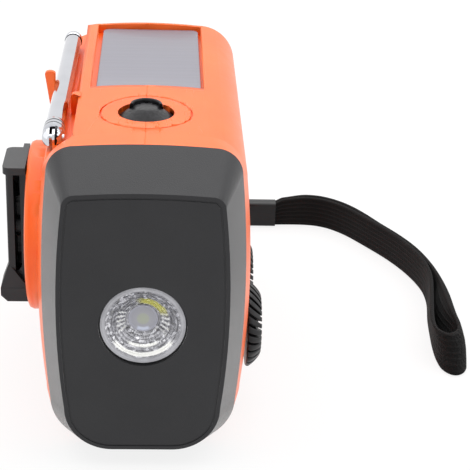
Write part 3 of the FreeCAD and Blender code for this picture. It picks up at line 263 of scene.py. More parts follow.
def solar_cells():
    """Cells under clear resin: grey-lilac bands with faint collector lines across them."""
    cell_pitch, cells_behind = 0.0052, 10.35
    line, cell, cell_middle = (0.215, 0.21, 0.245), (0.175, 0.17, 0.20), (0.185, 0.18, 0.215)
    material, tree, shader = new_material("solar_cells")
    along = axes(tree, object_coordinates(tree))["Y"]
    across_one_cell = number(tree, "FRACT", number(tree, "MULTIPLY_ADD", along, 1 / cell_pitch, cells_behind))
    stops = [(0.0, line), (0.07, cell), (0.5, cell_middle), (1.0, cell)]
    paint(tree, shader, ramp(tree, across_one_cell, stops))
    set_sockets(shader, Roughness=0.4, Coat_Weight=0.12, Coat_Roughness=0.12)
    bump(tree, shader, grain(tree, 1200.0), 0.05, 0.0001)
    return material


def led_phosphor():
    material, tree, shader = new_material("led_phosphor")
    paint(tree, shader, mottled(tree, (0.75, 0.6, 0.08), (0.9, 0.78, 0.2), 1800.0, 2.0))
    set_sockets(shader, Roughness=0.25)
    return material


def webbing_weave():
    """Elastic narrow webbing: lengthwise cords with fine cross threads over them, from the piece's own map,
    and a rough knit that shows round the bend."""
    cords_per_metre, threads_per_metre, thread_height = 720.0, 900.0, 0.12
    knit_scale, knit_low, knit_high = 1500.0, -2.4, 3.2
    knit_starts, knit_full = 0.004, -0.006
    material, tree, shader = new_material("woven_nylon")

    def stripes(socket, per_metre):
        wave = number(tree, "SINE", number(tree, "MULTIPLY", socket, per_metre * 2 * math.pi))
        return value_range(tree, wave, -0.5, 1.5)

    mapped = axes(tree, tree.nodes.new("ShaderNodeTexCoord").outputs["UV"])
    cords = stripes(mapped["Y"], cords_per_metre)
    threads = stripes(mapped["X"], threads_per_metre)
    along_case = axes(tree, object_coordinates(tree))["Y"]
    bend = value_range(tree, along_case, 0.0, 1.0, start=knit_starts, stop=knit_full)
    rough = value_range(tree, grain(tree, knit_scale, 3.0), knit_low, knit_high)
    knit = number(tree, "MULTIPLY", bend, rough)
    height = number(tree, "MULTIPLY_ADD", threads, thread_height, number(tree, "ADD", cords, knit))
    # The colour follows the weave's height, so its hollows are painted darker than its raised cords and
    # threads: painted shade
    paint(tree, shader, ramp(tree, value_range(tree, height, 0.0, 0.75),
                             [(0.1, (0.0025, 0.0024, 0.0024)), (0.9, (0.0065, 0.006, 0.0062))]))
    set_sockets(shader, Roughness=0.85, Specular_IOR_Level=0.16, Sheen_Weight=0.02, Sheen_Roughness=0.6)
    bump(tree, shader, height, 0.6, 0.0003)
    return material


board_green = circuit_board()
cone_paper = speaker_paper()
clear = clear_plastic()
cells = solar_cells()
phosphor = led_phosphor()
weave = webbing_weave()


# Tools for modelling
def deselect():
    if bpy.context.mode != "OBJECT":
        bpy.ops.object.mode_set(mode="OBJECT")
    bpy.ops.object.select_all(action="DESELECT")


def take(piece):
    """Selects the piece alone."""
    deselect()
    bpy.context.view_layer.objects.active = piece
    piece.select_set(True)


def leave():
    """Closes edit mode, which pick opened."""
    bpy.ops.object.mode_set(mode="OBJECT")


def settle(name):
    """Names the new primitive and puts its place into its mesh."""
    piece = bpy.context.active_object
    piece.name = name
    bpy.ops.object.transform_apply(location=True, rotation=True, scale=True)
    return piece


def block(name, low, high):
    deselect()
    bpy.ops.mesh.primitive_cube_add(size=1.0, location=[(a + b) / 2 * MM for a, b in zip(low, high)],
                                    scale=[(b - a) * MM for a, b in zip(low, high)])
    return settle(name)


def pick(piece, faces=None, edges=None, verts=None):
    """Opens the piece in edit mode with only the faces, edges or vertices selected that pass the test. A face
    is tested by its middle and its normal, an edge by its two ends and a vertex by its place."""
    take(piece)
    bpy.ops.object.mode_set(mode="EDIT")
    bpy.ops.mesh.select_mode(type="FACE" if faces else "EDGE" if edges else "VERT")
    bpy.ops.mesh.select_all(action="DESELECT")
    mesh = bmesh.from_edit_mesh(piece.data)
    if faces:
        for face in mesh.faces:
            face.select_set(bool(faces(face.calc_center_median() / MM, face.normal)))
    elif edges:
        for edge in mesh.edges:
            edge.select_set(bool(edges(edge.verts[0].co / MM, edge.verts[1].co / MM)))
    else:
        for vert in mesh.verts:
            vert.select_set(bool(verts(vert.co / MM)))
    mesh.select_flush_mode()
    bmesh.update_edit_mesh(piece.data)


def modify(piece, kind, **settings):
    """Adds a modifier, sets it and applies it."""
    take(piece)
    modifier = piece.modifiers.new(kind.lower(), kind)
    for key, value in settings.items():
        setattr(modifier, key, value)
    bpy.ops.object.modifier_apply(modifier=modifier.name)


def soften(piece, width, segments, angle):
    """Rounds the edges that are sharper than the angle."""
    modify(piece, "BEVEL", width=width * MM, segments=segments, limit_method="ANGLE",
           angle_limit=math.radians(angle))


def smooth(piece, angle):
    """Shades the piece smooth, apart from edges that are sharper than the angle."""
    take(piece)
    bpy.ops.object.shade_smooth_by_angle(angle=math.radians(angle))


def level_shading(piece):
    """Lets large faces lead the shading, so that a small bevel beside them doesn't bend it."""
    modify(piece, "WEIGHTED_NORMAL", mode="FACE_AREA", weight=50, keep_sharp=True)


def carve(piece, tools):
    """Cuts the tool shapes out of the piece."""
    for tool in tools:
        modify(piece, "BOOLEAN", operation="DIFFERENCE", object=tool, solver="EXACT")
        bpy.data.objects.remove(tool)


def join(name, pieces):
    deselect()
    for piece in pieces:
        piece.select_set(True)
    bpy.context.view_layer.objects.active = pieces[0]
    bpy.ops.object.join()
    pieces[0].name = name
    return pieces[0]


def finish_piece(piece, body, material, replaced=None):
    """Gives the piece its material and its body, and puts it in place of a solid."""
    piece.data.materials.clear()
    piece.data.materials.append(material)
    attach(piece, body)
    if replaced:
        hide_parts(replaced)


def turned_profile(name, profile, centre, axis, steps=96):
    """Spins a profile of (along, radius) points round an axis that runs through centre."""
    first, second = centre
    spot = {"x": lambda along, radius: (along, first, second + radius),
            "y": lambda along, radius: (first + radius, along, second),
            "z": lambda along, radius: (first + radius, second, along)}[axis]
    direction = {"x": (1, 0, 0), "y": (0, 1, 0), "z": (0, 0, 1)}[axis]
    spots = [Vector(spot(along, radius)) * MM for along, radius in profile]
    deselect()
    bpy.ops.mesh.primitive_plane_add(size=MM, location=spots[0])
    piece = settle(name)
    bpy.ops.object.mode_set(mode="EDIT")
    bpy.ops.mesh.select_mode(type="VERT")
    bpy.ops.mesh.select_all(action="SELECT")
    bpy.ops.mesh.merge(type="CENTER")
    for here, there in zip(spots, spots[1:]):
        bpy.ops.mesh.extrude_vertices_move(TRANSFORM_OT_translate={"value": there - here})
    bpy.ops.mesh.select_all(action="SELECT")
    bpy.ops.mesh.spin(steps=steps, angle=2 * math.pi, center=mm(*spot(0, 0)), axis=direction)
    bpy.ops.mesh.select_all(action="SELECT")
    bpy.ops.mesh.remove_doubles(threshold=0.000005)
    bpy.ops.mesh.normals_make_consistent(inside=False)
    leave()
    return piece


# Wrist strap, on the routes that its solids follow
strap_route = [
    (38.0, 79.6), (47.6, 80.3), (55.4, 78.9), (61.7, 73.4), (67.3, 65.0), (73.6, 55.0), (78.2, 45.0),
    (81.0, 35.0), (81.4, 26.5), (80.3, 18.5), (78.9, 10.0), (77.6, 3.0), (77.1, -2.5), (77.7, -6.6),
    (80.4, -9.4), (83.4, -7.2), (84.2, -2.5), (84.1, 5.0), (84.3, 13.5), (83.8, 22.5), (82.7, 31.5),
    (80.7, 40.3), (78.3, 47.0), (74.9, 53.9), (70.9, 60.5), (67.6, 66.9), (63.4, 73.6), (58.8, 78.3),
    (53.6, 81.3), (47.4, 81.6), (38.0, 80.8),
]
string_route = [
    (34.0, 80.9, 4.6), (27.0, 79.6, 5.2), (21.6, 75.6, 6.6), (17.2, 70.2, 8.4), (13.6, 64.2, 10.2),
    (11.6, 58.4, 11.6), (11.6, 53.4, 11.8), (15.4, 53.3, 11.8), (15.6, 58.6, 11.5), (17.6, 63.6, 10.2),
    (21.0, 69.0, 8.4), (25.2, 74.4, 6.3), (29.6, 78.6, 5.0), (34.0, 79.3, 4.6),
]
strap_half_width = 4.8
strap_half_thick = 0.55
selvedge = 0.4
strap_off_floor = 0.1
sleeve_grip = 0.5
string_radius = 0.6
# How far the foot leans out at the bend, how soon down the band, and how far the far run's foot leans in
bend_lean = Vector((1.6, -5.3, 0.0)) * MM
bend_curl = 3.5
far_run_lean = 3.6


def smooth_curve(name, points, resolution):
    data = bpy.data.curves.new(name, "CURVE")
    data.dimensions = "3D"
    spline = data.splines.new("NURBS")
    spline.points.add(len(points) - 1)
    for point, (x, y, z) in zip(spline.points, points):
        point.co = (x * MM, y * MM, z * MM, 1.0)
    spline.order_u = 3
    spline.use_endpoint_u = True
    spline.resolution_u = resolution
    data.resolution_u = resolution
    curve = bpy.data.objects.new(name, data)
    bpy.context.collection.objects.link(curve)
    return curve


def curve_points(curve):
    bpy.context.view_layer.update()
    line = bpy.data.meshes.new_from_object(curve.evaluated_get(bpy.context.evaluated_depsgraph_get()))
    points = [vert.co.copy() for vert in line.vertices]
    bpy.data.meshes.remove(line)
    return points


def length_of(line):
    return sum((there - here).length for here, there in zip(line, line[1:]))


def eased(value, low, high):
    """0 at low and 1 at high, with an easy start and end."""
    share = min(max((value - low) / (high - low), 0.0), 1.0)
    return share * share * (3 - 2 * share)


def foot_lean(point, inward):
    """How far the band's lower edge stands out from its upper one: the bend leans out, and behind it the far
    run's foot leans in to the near run's."""
    y = point.y / MM
    lean = bend_lean * eased(-y, -18.0, 8.0)
    if inward < 0:
        lean = lean - Vector((far_run_lean * MM * eased(-y, -28.0, -13.0) * eased(y, -6.0, 11.0), 0.0, 0.0))
    return lean


def webbing_outline(half):
    """The band's section with its rounded selvedges, as (across, up) points about its middle."""
    thick, edge = strap_half_thick * MM, selvedge * MM
    rungs = [-half + edge, -half * 0.5, 0.0, half * 0.4, half * 0.75, half - edge]
    return ([(thick, up) for up in rungs] + [(thick * 0.55, half), (-thick * 0.55, half)]
            + [(-thick, up) for up in reversed(rungs)] + [(-thick * 0.55, -half), (thick * 0.55, -half)])


def webbing_run(name, line, inward):
    """One run of the narrow webbing: a flat woven band that stands on its edge, narrower where the sleeve
    grips it. The line lies on the floor under its upper edge. Inward is the way that the run turns at the
    bend."""
    total = length_of(line)
    last = len(line) - 1
    mesh = bmesh.new()
    layer = mesh.loops.layers.uv.new("along")
    rings, lengths, travelled = [], [], 0.0
    for n, point in enumerate(line):
        before, after = line[max(n - 1, 0)], line[min(n + 1, last)]
        along = Vector((inward, 0.0, 0.0)) if n == last else (after - before).normalized()
        across = Vector((-along.y, along.x, 0.0)).normalized()
        travelled += (point - before).length
        lengths.append(travelled - total)
        past_sleeve = point.x / MM - sleeve_mouth
        grip = sleeve_grip * (1 - eased(past_sleeve, -0.4, 2.4))
        taper = sleeve_grip * (1 - eased(past_sleeve, 0.5, 10.0))
        half = (strap_half_width - grip - taper) * MM
        outline = webbing_outline(half)
        lean = foot_lean(point, inward)
        ring = []
        for out, up in outline:
            fall = 0.5 - up / half / 2
            sideways = 1 - (1 - fall) ** bend_curl
            stand = Vector((lean.x * sideways, lean.y * fall, up + half + strap_off_floor * MM))
            ring.append(mesh.verts.new(point + across * out + stand))
        rings.append(ring)
    heights = [up for out, up in outline]
    for n in range(last):
        for side, low in enumerate(heights):
            after = (side + 1) % len(heights)
            high = heights[after]
            face = mesh.faces.new((rings[n][side], rings[n + 1][side],
                                   rings[n + 1][after], rings[n][after]))
            corners = [(lengths[n], low), (lengths[n + 1], low), (lengths[n + 1], high), (lengths[n], high)]
            for loop, corner in zip(face.loops, corners):
                loop[layer].uv = corner
            face.smooth = True
    for end in (mesh.faces.new(rings[0]), mesh.faces.new(list(reversed(rings[-1])))):
        for rim in end.edges:
            rim.smooth = False
    bmesh.ops.recalc_face_normals(mesh, faces=mesh.faces)
    data = bpy.data.meshes.new(name)
    mesh.to_mesh(data)
    mesh.free()
    band = bpy.data.objects.new(name, data)
    bpy.context.collection.objects.link(band)
    finish_piece(band, "case", weave, "strap_webbing")
    return band


def make_webbing():
    """The loop as two runs that meet at its bend."""
    route = smooth_curve("strap_line", [(x, y, 0.0) for x, y in strap_route], 20)
    line = curve_points(route)
    bpy.data.objects.remove(route)
    bend = min(range(len(line)), key=lambda n: line[n].y)
    out, back = line[:bend + 1], list(reversed(line[bend:]))
    for name, run, inward, start in (("webbing_out", out, 1, strap_route[0]),
                                     ("webbing_back", back, -1, strap_route[-1])):
        band = webbing_run(name, run, inward)


def make_string():
    string = smooth_curve("strap_string", string_route, 12)
    length = length_of(curve_points(string))
    string.data.bevel_depth = string_radius * MM
    string.data.bevel_resolution = 4
    string.data.use_fill_caps = True
    finish_piece(string, "case", black_plastic, "strap_cord")


make_webbing()
make_string()


# Case, cap and crank: their own solids, merged, with softened edges
def dressed(node, name, body, material, shape, rounding=0.0):
    """A copy of a solid with its triangles merged into faces, its details shaped, its sharp edges rounded and
    its curves smoothed."""
    flat_within, sharper_than, smooth_below = 0.05, 40.0, 30.0
    deselect()
    piece = nodes[node].copy()
    piece.data = nodes[node].data.copy()
    piece.name = name
    for key in list(piece.keys()):
        del piece[key]
    bpy.context.collection.objects.link(piece)
    pick(piece, faces=lambda at, facing: True)
    bpy.ops.mesh.remove_doubles(threshold=0.000002)
    bpy.ops.mesh.dissolve_limited(angle_limit=math.radians(flat_within))
    leave()
    shape(piece)
    if rounding:
        soften(piece, rounding, 3, sharper_than)
    smooth(piece, smooth_below)
    level_shading(piece)
    finish_piece(piece, body, material, node)


def panel_lines(piece):
    """Brings the floor of the panel's groove forward, so that it is a soft line, and closes the lens opening
    in round the optic."""
    groove_floor, floor_rise = -56.5, 0.3
    step_radius, close_radius, droop = 10.7, 10.05, 0.3
    x, z = optic_middle
    pick(piece, faces=lambda at, facing: facing.y < -0.9 and abs(at.y - groove_floor) < 0.05)
    bpy.ops.transform.translate(value=mm(0, -floor_rise, 0))
    leave()
    pick(piece, faces=lambda at, facing: abs(facing.y) < 0.1 and -57.2 < at.y < -56.2
         and abs(math.hypot(at.x - x, at.z - z) - step_radius) < 0.15)
    bpy.ops.transform.resize(value=(close_radius / step_radius, 1.0, close_radius / step_radius),
                             center_override=mm(x, -57.0, z))
    bpy.ops.transform.translate(value=mm(0, 0, -droop))
    leave()


def divided_top(piece):
    """Deepens the ring groove round the button, and divides the large faces of the crowned top, so that their
    shading runs evenly up to its openings."""
    ring_floor, deeper, cut_every = 76.45, 0.4, 3
    pick(piece, faces=lambda at, facing: facing.z > 0.99 and abs(at.z - ring_floor) < 0.004
         and abs(at.y - button_y) < 0.5)
    bpy.ops.transform.translate(value=mm(0, 0, -deeper))
    leave()
    cuts_along = [((x, 0, 76), (1, 0, 0)) for x in range(-15, 25, cut_every)]
    cuts_across = [((0, y, 76), (0, 1, 0)) for y in range(-42, 0, cut_every)]
    for place, normal in cuts_along + cuts_across:
        pick(piece, faces=lambda at, facing: facing.z > 0.9 and at.z > 75.0 and at.y < 4.0
             and abs(at.z - ring_floor + deeper) > 0.004)
        bpy.ops.mesh.bisect(plane_co=mm(*place), plane_no=normal)
        leave()


def seam_line(piece):
    """Divides the top, and breaks the outer edge where the two halves meet, on the top, base and rear end."""
    top, base, rear = 75.9, 0.5, 56.9
    divided_top(piece)
    pick(piece, edges=lambda a, b: abs(a.x) < 0.02 and abs(b.x) < 0.02
         and (min(a.z, b.z) > top or max(a.z, b.z) < base or min(a.y, b.y) > rear))
    bpy.ops.mesh.bevel(offset=0.08 * MM, segments=1)
    leave()


def seam_and_clip(piece):
    """The back half also has the antenna's clip, a slim prong and a slim tab with a round corner, and the
    wall of the antenna's rebate, which stands closer to the tube at its far end."""
    prong = ((-26.0, -2.0, 70.5), (-22.6, 3.0, 80.0))
    tab = ((-18.7, -14.6, 70.5), (-16.0, -10.4, 80.0))
    slimmer, tab_x, tab_top, corner_radius = 0.3, -18.3, 76.4, 1.1
    # The wall's far end lies between the first two across, above the third and behind the fourth
    wall_left, wall_right, wall_above, wall_behind, wall_shift = -16.5, -16.0, 70.5, 20.0, 0.6

    def tab_corner(a, b):
        return all(abs(at.x - tab_x) < 0.06 and abs(at.z - tab_top) < 0.06 for at in (a, b))
    for (low, high), kept_y, wider in ((prong, 2.5, 1.4), (tab, -10.75, 1.0)):
        pick(piece, verts=lambda at: all(a <= b <= c for a, b, c in zip(low, at, high)))
        bpy.ops.transform.resize(value=(wider, slimmer, 1.0), center_override=mm(-22.9, kept_y, 74.0))
        leave()
    pick(piece, verts=lambda at: wall_left < at.x < wall_right and at.z > wall_above and at.y > wall_behind)
    bpy.ops.transform.translate(value=mm(-wall_shift, 0, 0))
    leave()
    pick(piece, edges=tab_corner)
    bpy.ops.mesh.bevel(offset=corner_radius * MM, segments=5)
    leave()
    seam_line(piece)


def slim_arm(piece):
    """Brings the arm's round end back behind the hub's bar, and its inner half, by the case, further back."""
    # The round end is what lies in front of the first place, and across between the other two
    round_end, arm_outside, arm_inside = -20.4, -33.3, -29.1
    outer_half, inner_half = (arm_outside, -31.68), (-31.65, arm_inside)
    for x in (-31.7, -31.6):
        pick(piece, faces=lambda at, facing: at.y < round_end and 34.0 < at.z < 55.0 and at.x > arm_outside)
        bpy.ops.mesh.bisect(plane_co=mm(x, 0.0, 0.0), plane_no=(1, 0, 0))
        leave()
    for (low, high), in_front_of, brought_to in ((outer_half, -23.02, -23.0), (inner_half, round_end, -17.0)):
        pick(piece, verts=lambda at: low < at.x < high and at.y < in_front_of and 35.9 < at.z < 54.3)
        bpy.ops.transform.resize(value=(1.0, 0.0, 1.0), center_override=mm(-31.0, brought_to, 44.0))
        leave()


dressed("back_case", "back_shell", "case", orange, seam_and_clip)
dressed("front_case", "front_shell", "case", orange, seam_line)
dressed("lamp_end_cap", "lamp_cap", "case", dark_grey, panel_lines, rounding=0.35)
dressed("crank_arm", "crank_lever", "crank", crank_grey, slim_arm, rounding=0.45)


# Lamp optic
def round_the_optic(tree):
    """Distance from the optic's axis in millimetres, and bearing round it in radians, 0 to the right."""
    place = axes(tree, object_coordinates(tree))
    across = number(tree, "SUBTRACT", place["X"], optic_middle[0] * MM)
    up = number(tree, "SUBTRACT", place["Z"], optic_middle[1] * MM)
    squares = number(tree, "ADD", number(tree, "MULTIPLY", across, across), number(tree, "MULTIPLY", up, up))
    radius = number(tree, "MULTIPLY", number(tree, "SQRT", squares), 1000.0)
    return radius, number(tree, "ARCTAN2", up, across)


def patch(tree, first, second):
    """1 where two values are both in their spans; each is given as value, low end, high end and soft edge."""
    return number(tree, "MULTIPLY", between(tree, *first), between(tree, *second))


def facet_shades(tree, scale, stops):
    facets = tree.nodes.new("ShaderNodeTexVoronoi")
    set_sockets(facets, Scale=scale)
    tree.links.new(object_coordinates(tree), facets.inputs["Vector"])
    split = tree.nodes.new("ShaderNodeSeparateColor")
    tree.links.new(facets.outputs["Color"], split.inputs["Color"])
    return ramp(tree, split.outputs["Red"], stops)


def optic_flange_finish():
    """Cloudy moulded plastic with fine rings."""
    material, tree, shader = new_material("moulded_optic")
    radius, _ = round_the_optic(tree)
    cloudy = mottled(tree, (0.31, 0.31, 0.335), (0.42, 0.42, 0.45), 260.0, low=0.35)
    rings = number(tree, "MULTIPLY", number(tree, "PINGPONG", radius, 0.31), 0.5)
    paint(tree, shader, blended(tree, rings, cloudy, (0.8, 0.8, 0.84)))
    set_sockets(shader, Roughness=0.14, Coat_Weight=0.5, Coat_Roughness=0.05)
    bump(tree, shader, grain(tree, 700.0), 0.12, 0.0001)
    return material


def optic_cup_finish():
    """Moulded facets of random tone with faint rings, with painted light on them: a painted yellow reflection
    of the lamp above, painted white highlights below and at the sides, and a painted dark arc of shade by the
    centre.
    """
    white, painted_highlight_white, painted_yellow_reflection = (1.0, 1.0, 1.0), (1.0, 1.0, 0.97), (0.70, 0.68, 0.24)
    rings_per_mm, stripes_per_radian = 2.9, 4.6
    material, tree, shader = new_material("cup_silver")
    radius, bearing = round_the_optic(tree)
    colour = facet_shades(tree, 1700.0, [(0.1, (0.11, 0.11, 0.12)), (0.5, (0.23, 0.23, 0.25)),
                                         (0.8, (0.38, 0.38, 0.41)), (0.97, (0.8, 0.8, 0.84))])
    rings = number(tree, "FRACT", number(tree, "MULTIPLY", radius, rings_per_mm))
    faint_rings = number(tree, "MULTIPLY", between(tree, rings, 0.35, 2.0, 0.2), 0.35)
    colour = blended(tree, faint_rings, colour, (0.6, 0.6, 0.64))
    sidelong = number(tree, "ABSOLUTE", number(tree, "COSINE", bearing))
    # Painted highlight: white glint streaks on the facets at the left and right
    painted_side_glints = patch(tree, (sidelong, 0.87, 2.0, 0.08), (radius, 4.2, 6.0, 0.3))
    stripes = number(tree, "FRACT", number(tree, "MULTIPLY", bearing, stripes_per_radian))
    stripes = between(tree, stripes, 0.3, 0.75, 0.12)
    colour = blended(tree, number(tree, "MULTIPLY", painted_side_glints, stripes), colour, white)
    # Painted reflection: the LED's yellow on the upper wall of the cup
    above = patch(tree, (radius, 4.1, 5.9, 0.35), (bearing, 0.38, 1.72, 0.24))
    colour = blended(tree, above, colour, painted_yellow_reflection)
    # Painted highlights: two pale crescents on the lower wall, which faces the overhead light
    for inner, outer, start, stop in ((7.45, 8.3, -2.5, -0.62), (5.85, 6.45, -2.12, -1.02)):
        arc = patch(tree, (radius, inner, outer, 0.1), (bearing, start, stop, 0.12))
        colour = blended(tree, arc, colour, painted_highlight_white)
    # Painted shade: a dark arc at the top, by the centre's rim
    lip = patch(tree, (radius, 3.62, 3.95, 0.08), (bearing, 1.2, 1.95, 0.1))
    paint(tree, shader, blended(tree, lip, colour, (0.02, 0.02, 0.02)))
    set_sockets(shader, Metallic=0.35, Roughness=0.16, Coat_Weight=0.6, Coat_Roughness=0.04)
    bump(tree, shader, grain(tree, 1500.0), 0.25, 0.0001)
    return material


def optic_centre_finish():
    """The greenish die in the middle, lilac clear plastic round it and a painted pale glint below."""
    centre_radius = 3.4
    material, tree, shader = new_material("optic_centre")
    radius, bearing = round_the_optic(tree)
    colour = ramp(tree, number(tree, "MULTIPLY", radius, 1 / centre_radius),
                  [(0.0, (0.40, 0.43, 0.34)), (0.36, (0.40, 0.42, 0.36)), (0.46, (0.38, 0.38, 0.42)),
                   (0.8, (0.36, 0.36, 0.41)), (1.0, (0.44, 0.44, 0.52))])
    # Painted highlight: a pale bluish glint low on the centre
    painted_glint = patch(tree, (radius, 2.2, 3.05, 0.25), (bearing, -2.1, -1.05, 0.15))
    paint(tree, shader, blended(tree, painted_glint, colour, (0.62, 0.66, 0.8)))
    set_sockets(shader, Roughness=0.12, Coat_Weight=0.6, Coat_Roughness=0.04)
    return material


def facet_hash(centre):
    """A steady number from 0 to 1 for a facet, from its place."""
    return (math.sin(centre.x * 12.9898 + centre.z * 78.233 + centre.y * 37.719) * 43758.5453) % 1.0


def optic_flange():
    """The flat flange round the optic, with both of its edges rounded."""
    profile = [(2.0, 9.75), (0.3, 9.75), (0.08, 9.66), (0.0, 9.45), (0.0, 8.75), (0.08, 8.6), (0.4, 8.5),
               (0.6, 8.7), (2.0, 9.0), (2.0, 9.75)]
    flange = turned_profile("optic_flange", [(optic_front + depth, radius) for depth, radius in profile],
                            optic_middle, "y", steps=128)
    smooth(flange, 40.0)
    finish_piece(flange, "case", optic_flange_finish())


def optic_cup():
    """The cup with its ridged rows of facets, some of them raised and some sunk. Returns the place of its
    floor."""
    slopes = ((0.55, 0.72), (0.55, 0.66), (0.6, 0.62), (0.62, 0.6), (0.64, 0.6), (0.64, 0.56), (0.55, 0.5))
    step_forward, step_in, tall_facet = 0.16, 0.1, 0.5
    rows, depth, radius = [], 0.2, 8.62
    for slope_depth, slope_run in slopes:
        rows += [(optic_front + depth, radius), (optic_front + depth + slope_depth, radius - slope_run)]
        depth, radius = depth + slope_depth - step_forward, radius - slope_run - step_in
    rows += [(optic_front + depth + 0.1, 3.45), (optic_front + depth + 0.3, 3.25)]
    cup = turned_profile("optic_facets", rows, optic_middle, "y", steps=44)
    for raised, low, high in ((0.09, 0.0, 0.34), (-0.07, 0.34, 0.6)):
        pick(cup, faces=lambda at, facing: False)
        mesh = bmesh.from_edit_mesh(cup.data)
        for face in mesh.faces:
            tall = max(vert.co.y for vert in face.verts) - min(vert.co.y for vert in face.verts)
            chance = facet_hash(face.calc_center_median() / MM)
            face.select_set(tall > tall_facet * MM and low <= chance < high)
        bmesh.update_edit_mesh(cup.data)
        bpy.ops.mesh.inset(thickness=0.1 * MM, depth=raised * MM, use_individual=True)
        leave()
    finish_piece(cup, "case", optic_cup_finish(), "lamp_reflector")
    return optic_front + depth


def optic_centre(floor):
    """The clear centre over the LED, a shallow dome inside a rim."""
    profile = [(0.6, 3.5), (0.1, 3.42), (-0.02, 3.3), (0.0, 3.16), (0.1, 3.05), (-0.05, 2.4), (-0.12, 1.2),
               (-0.15, 0.0)]
    centre = turned_profile("optic_centre", [(floor + depth, radius) for depth, radius in profile],
                            optic_middle, "y")
    smooth(centre, 40.0)
    finish_piece(centre, "case", optic_centre_finish(), "lamp_lens")


optic_flange()
optic_centre(optic_cup() + 0.15)


# Solar panel
def solar_module():
    """The cell module: a resin block with rounded corners and a softened rim."""
    module = block("solar_module", (-12.5, -6.5, 74.35), (13.2, 42.1, 75.8))
    pick(module, edges=lambda a, b: abs(a.z - b.z) > 1.0)
    bpy.ops.mesh.bevel(offset=2.0 * MM, segments=8)
    leave()
    soften(module, 0.2, 3, 40.0)
    smooth(module, 40.0)
    finish_piece(module, "case", cells, "solar_panel")


solar_module()


# Strap sleeve
def strap_sleeve():
    """A moulded sleeve with rounded corners and a recess in each of its ends."""
    sleeve = block("strap_sleeve", (31.6, 78.0, 0.0), (sleeve_mouth, 82.4, 7.9))
    pick(sleeve, edges=lambda a, b: abs(a.x - b.x) > 1.0)
    bpy.ops.mesh.bevel(offset=0.8 * MM, segments=3)
    leave()
    for end, wall in ((1, 0.6), (-1, 1.2)):
        pick(sleeve, faces=lambda at, facing: facing.x * end > 0.9)
        bpy.ops.mesh.inset(thickness=wall * MM)
        bpy.ops.mesh.extrude_region_move(TRANSFORM_OT_translate={"value": mm(-0.8 * end, 0, 0)})
        leave()
    soften(sleeve, 0.35, 3, 50.0)
    smooth(sleeve, 35.0)
    finish_piece(sleeve, "case", black_plastic, "strap_ferrule")


strap_sleeve()


# Knobs
def ribbed_knob(name, node, body, y, front):
    """A knob that narrows to its face, with coarse ribs that run over its rim and lean a little along it."""
    z, back, radius, face_radius = 21.5, 25.1, 10.6, 6.25
    ribs, per_rib, groove_columns = 28, 6, (0, 1)
    groove_share = (0.68, 0.88, 0.88)
    lean = math.radians(-2.2)
    reach = front - back
    profile = [(0.0, 0.0), (0.0, 10.3), (0.06, radius), (0.2, radius), (0.4, 10.1), (0.6, 9.45), (0.8, 8.6),
               (0.93, 7.9), (1.0, 7.3), (1.0, 6.5), (0.66, 6.2), (0.66, 0.0)]
    knob = turned_profile(name, [(back + along * reach, r) for along, r in profile], (y, z), "x",
                          steps=ribs * per_rib)
    step = 2 * math.pi / (ribs * per_rib)

    def from_axis(at):
        return math.hypot(at.y - y, at.z - z)

    def groove(at, facing):
        column = int(round(math.atan2(at.y - y, at.z - z) / step - 0.5)) % per_rib
        return from_axis(at) > face_radius and column in groove_columns and at.x > back + 0.1 * reach
    pick(knob, faces=groove)
    bpy.ops.mesh.extrude_region_move()
    bpy.ops.transform.resize(value=groove_share, center_override=mm(back, y, z))
    bpy.ops.mesh.select_all(action="SELECT")
    bpy.ops.mesh.remove_doubles(threshold=0.000002)
    leave()
    for start in (0.15, 0.35, 0.55, 0.75, 0.9):
        pick(knob, verts=lambda at: at.x > back + start * reach and from_axis(at) > 5.0)
        bpy.ops.transform.rotate(value=lean, orient_axis="X", center_override=mm(0.0, y, z))
        leave()
    soften(knob, 0.14, 2, 38.0)
    smooth(knob, 40.0)
    level_shading(knob)
    finish_piece(knob, body, black_plastic, node)


ribbed_knob("tuning_knob_ribbed", "tuning_knob", "tuning", -26.0, 28.8)
ribbed_knob("volume_knob_ribbed", "volume_knob", "volume", 0.0, 28.0)


# Lamp button
def rubber_button():
    """A rubber dome with a raised lip round the back of its top and three short notches before it."""
    notch_half_width, notch_length = 0.36, 1.1
    dome = turned_profile("button_dome", [
        (74.0, 0), (74.0, 6.7), (75.2, 6.7), (75.6, 6.45), (76.2, 5.7), (76.8, 4.9), (77.45, 4.05),
        (77.9, 3.4), (78.25, 2.85), (78.42, 2.2), (78.5, 1.2), (78.52, 0)], (0, button_y), "z")
    carve(dome, [block("notch", (x - notch_half_width, button_y + start, 77.3),
                       (x + notch_half_width, button_y + start + notch_length, 79.0))
                 for x, start in ((-1.7, 1.2), (0.0, 1.7), (1.7, 1.2))])
    soften(dome, 0.06, 2, 30.0)
    lip = turned_profile("button_lip", [
        (76.6, 3.0), (78.7, 3.05), (79.05, 3.15), (79.2, 3.4), (79.1, 3.65), (78.8, 3.8), (78.3, 3.88),
        (76.6, 4.2), (76.6, 3.0)], (0, button_y), "z")
    pick(lip, faces=lambda at, facing: True)
    bpy.ops.mesh.bisect(plane_co=mm(0, button_y + 0.2, 78), plane_no=(0, 1, 0.35), use_fill=True,
                        clear_inner=True)
    leave()
    soften(lip, 0.12, 2, 50.0)
    button = join("button_dome", [dome, lip])
    smooth(button, 45.0)
    finish_piece(button, "button", button_rubber, "lamp_button")


rubber_button()


# Antenna, turned about its own line
antenna_x, antenna_z = -20.6, 73.5
pivot, knuckle_end, tip_y = -34.0, -27.0, 40.0


def antenna_part(name, profile):
    return turned_profile(name, profile, (antenna_x, antenna_z), "y", steps=64)


def aim(piece):
    """Turns a part a little about the tip, so that its near end stands out from the case as photographed."""
    pick(piece, verts=lambda at: True)
    bpy.ops.transform.rotate(value=math.radians(0.45), orient_axis="Z",
                             center_override=mm(antenna_x, tip_y, antenna_z))
    leave()


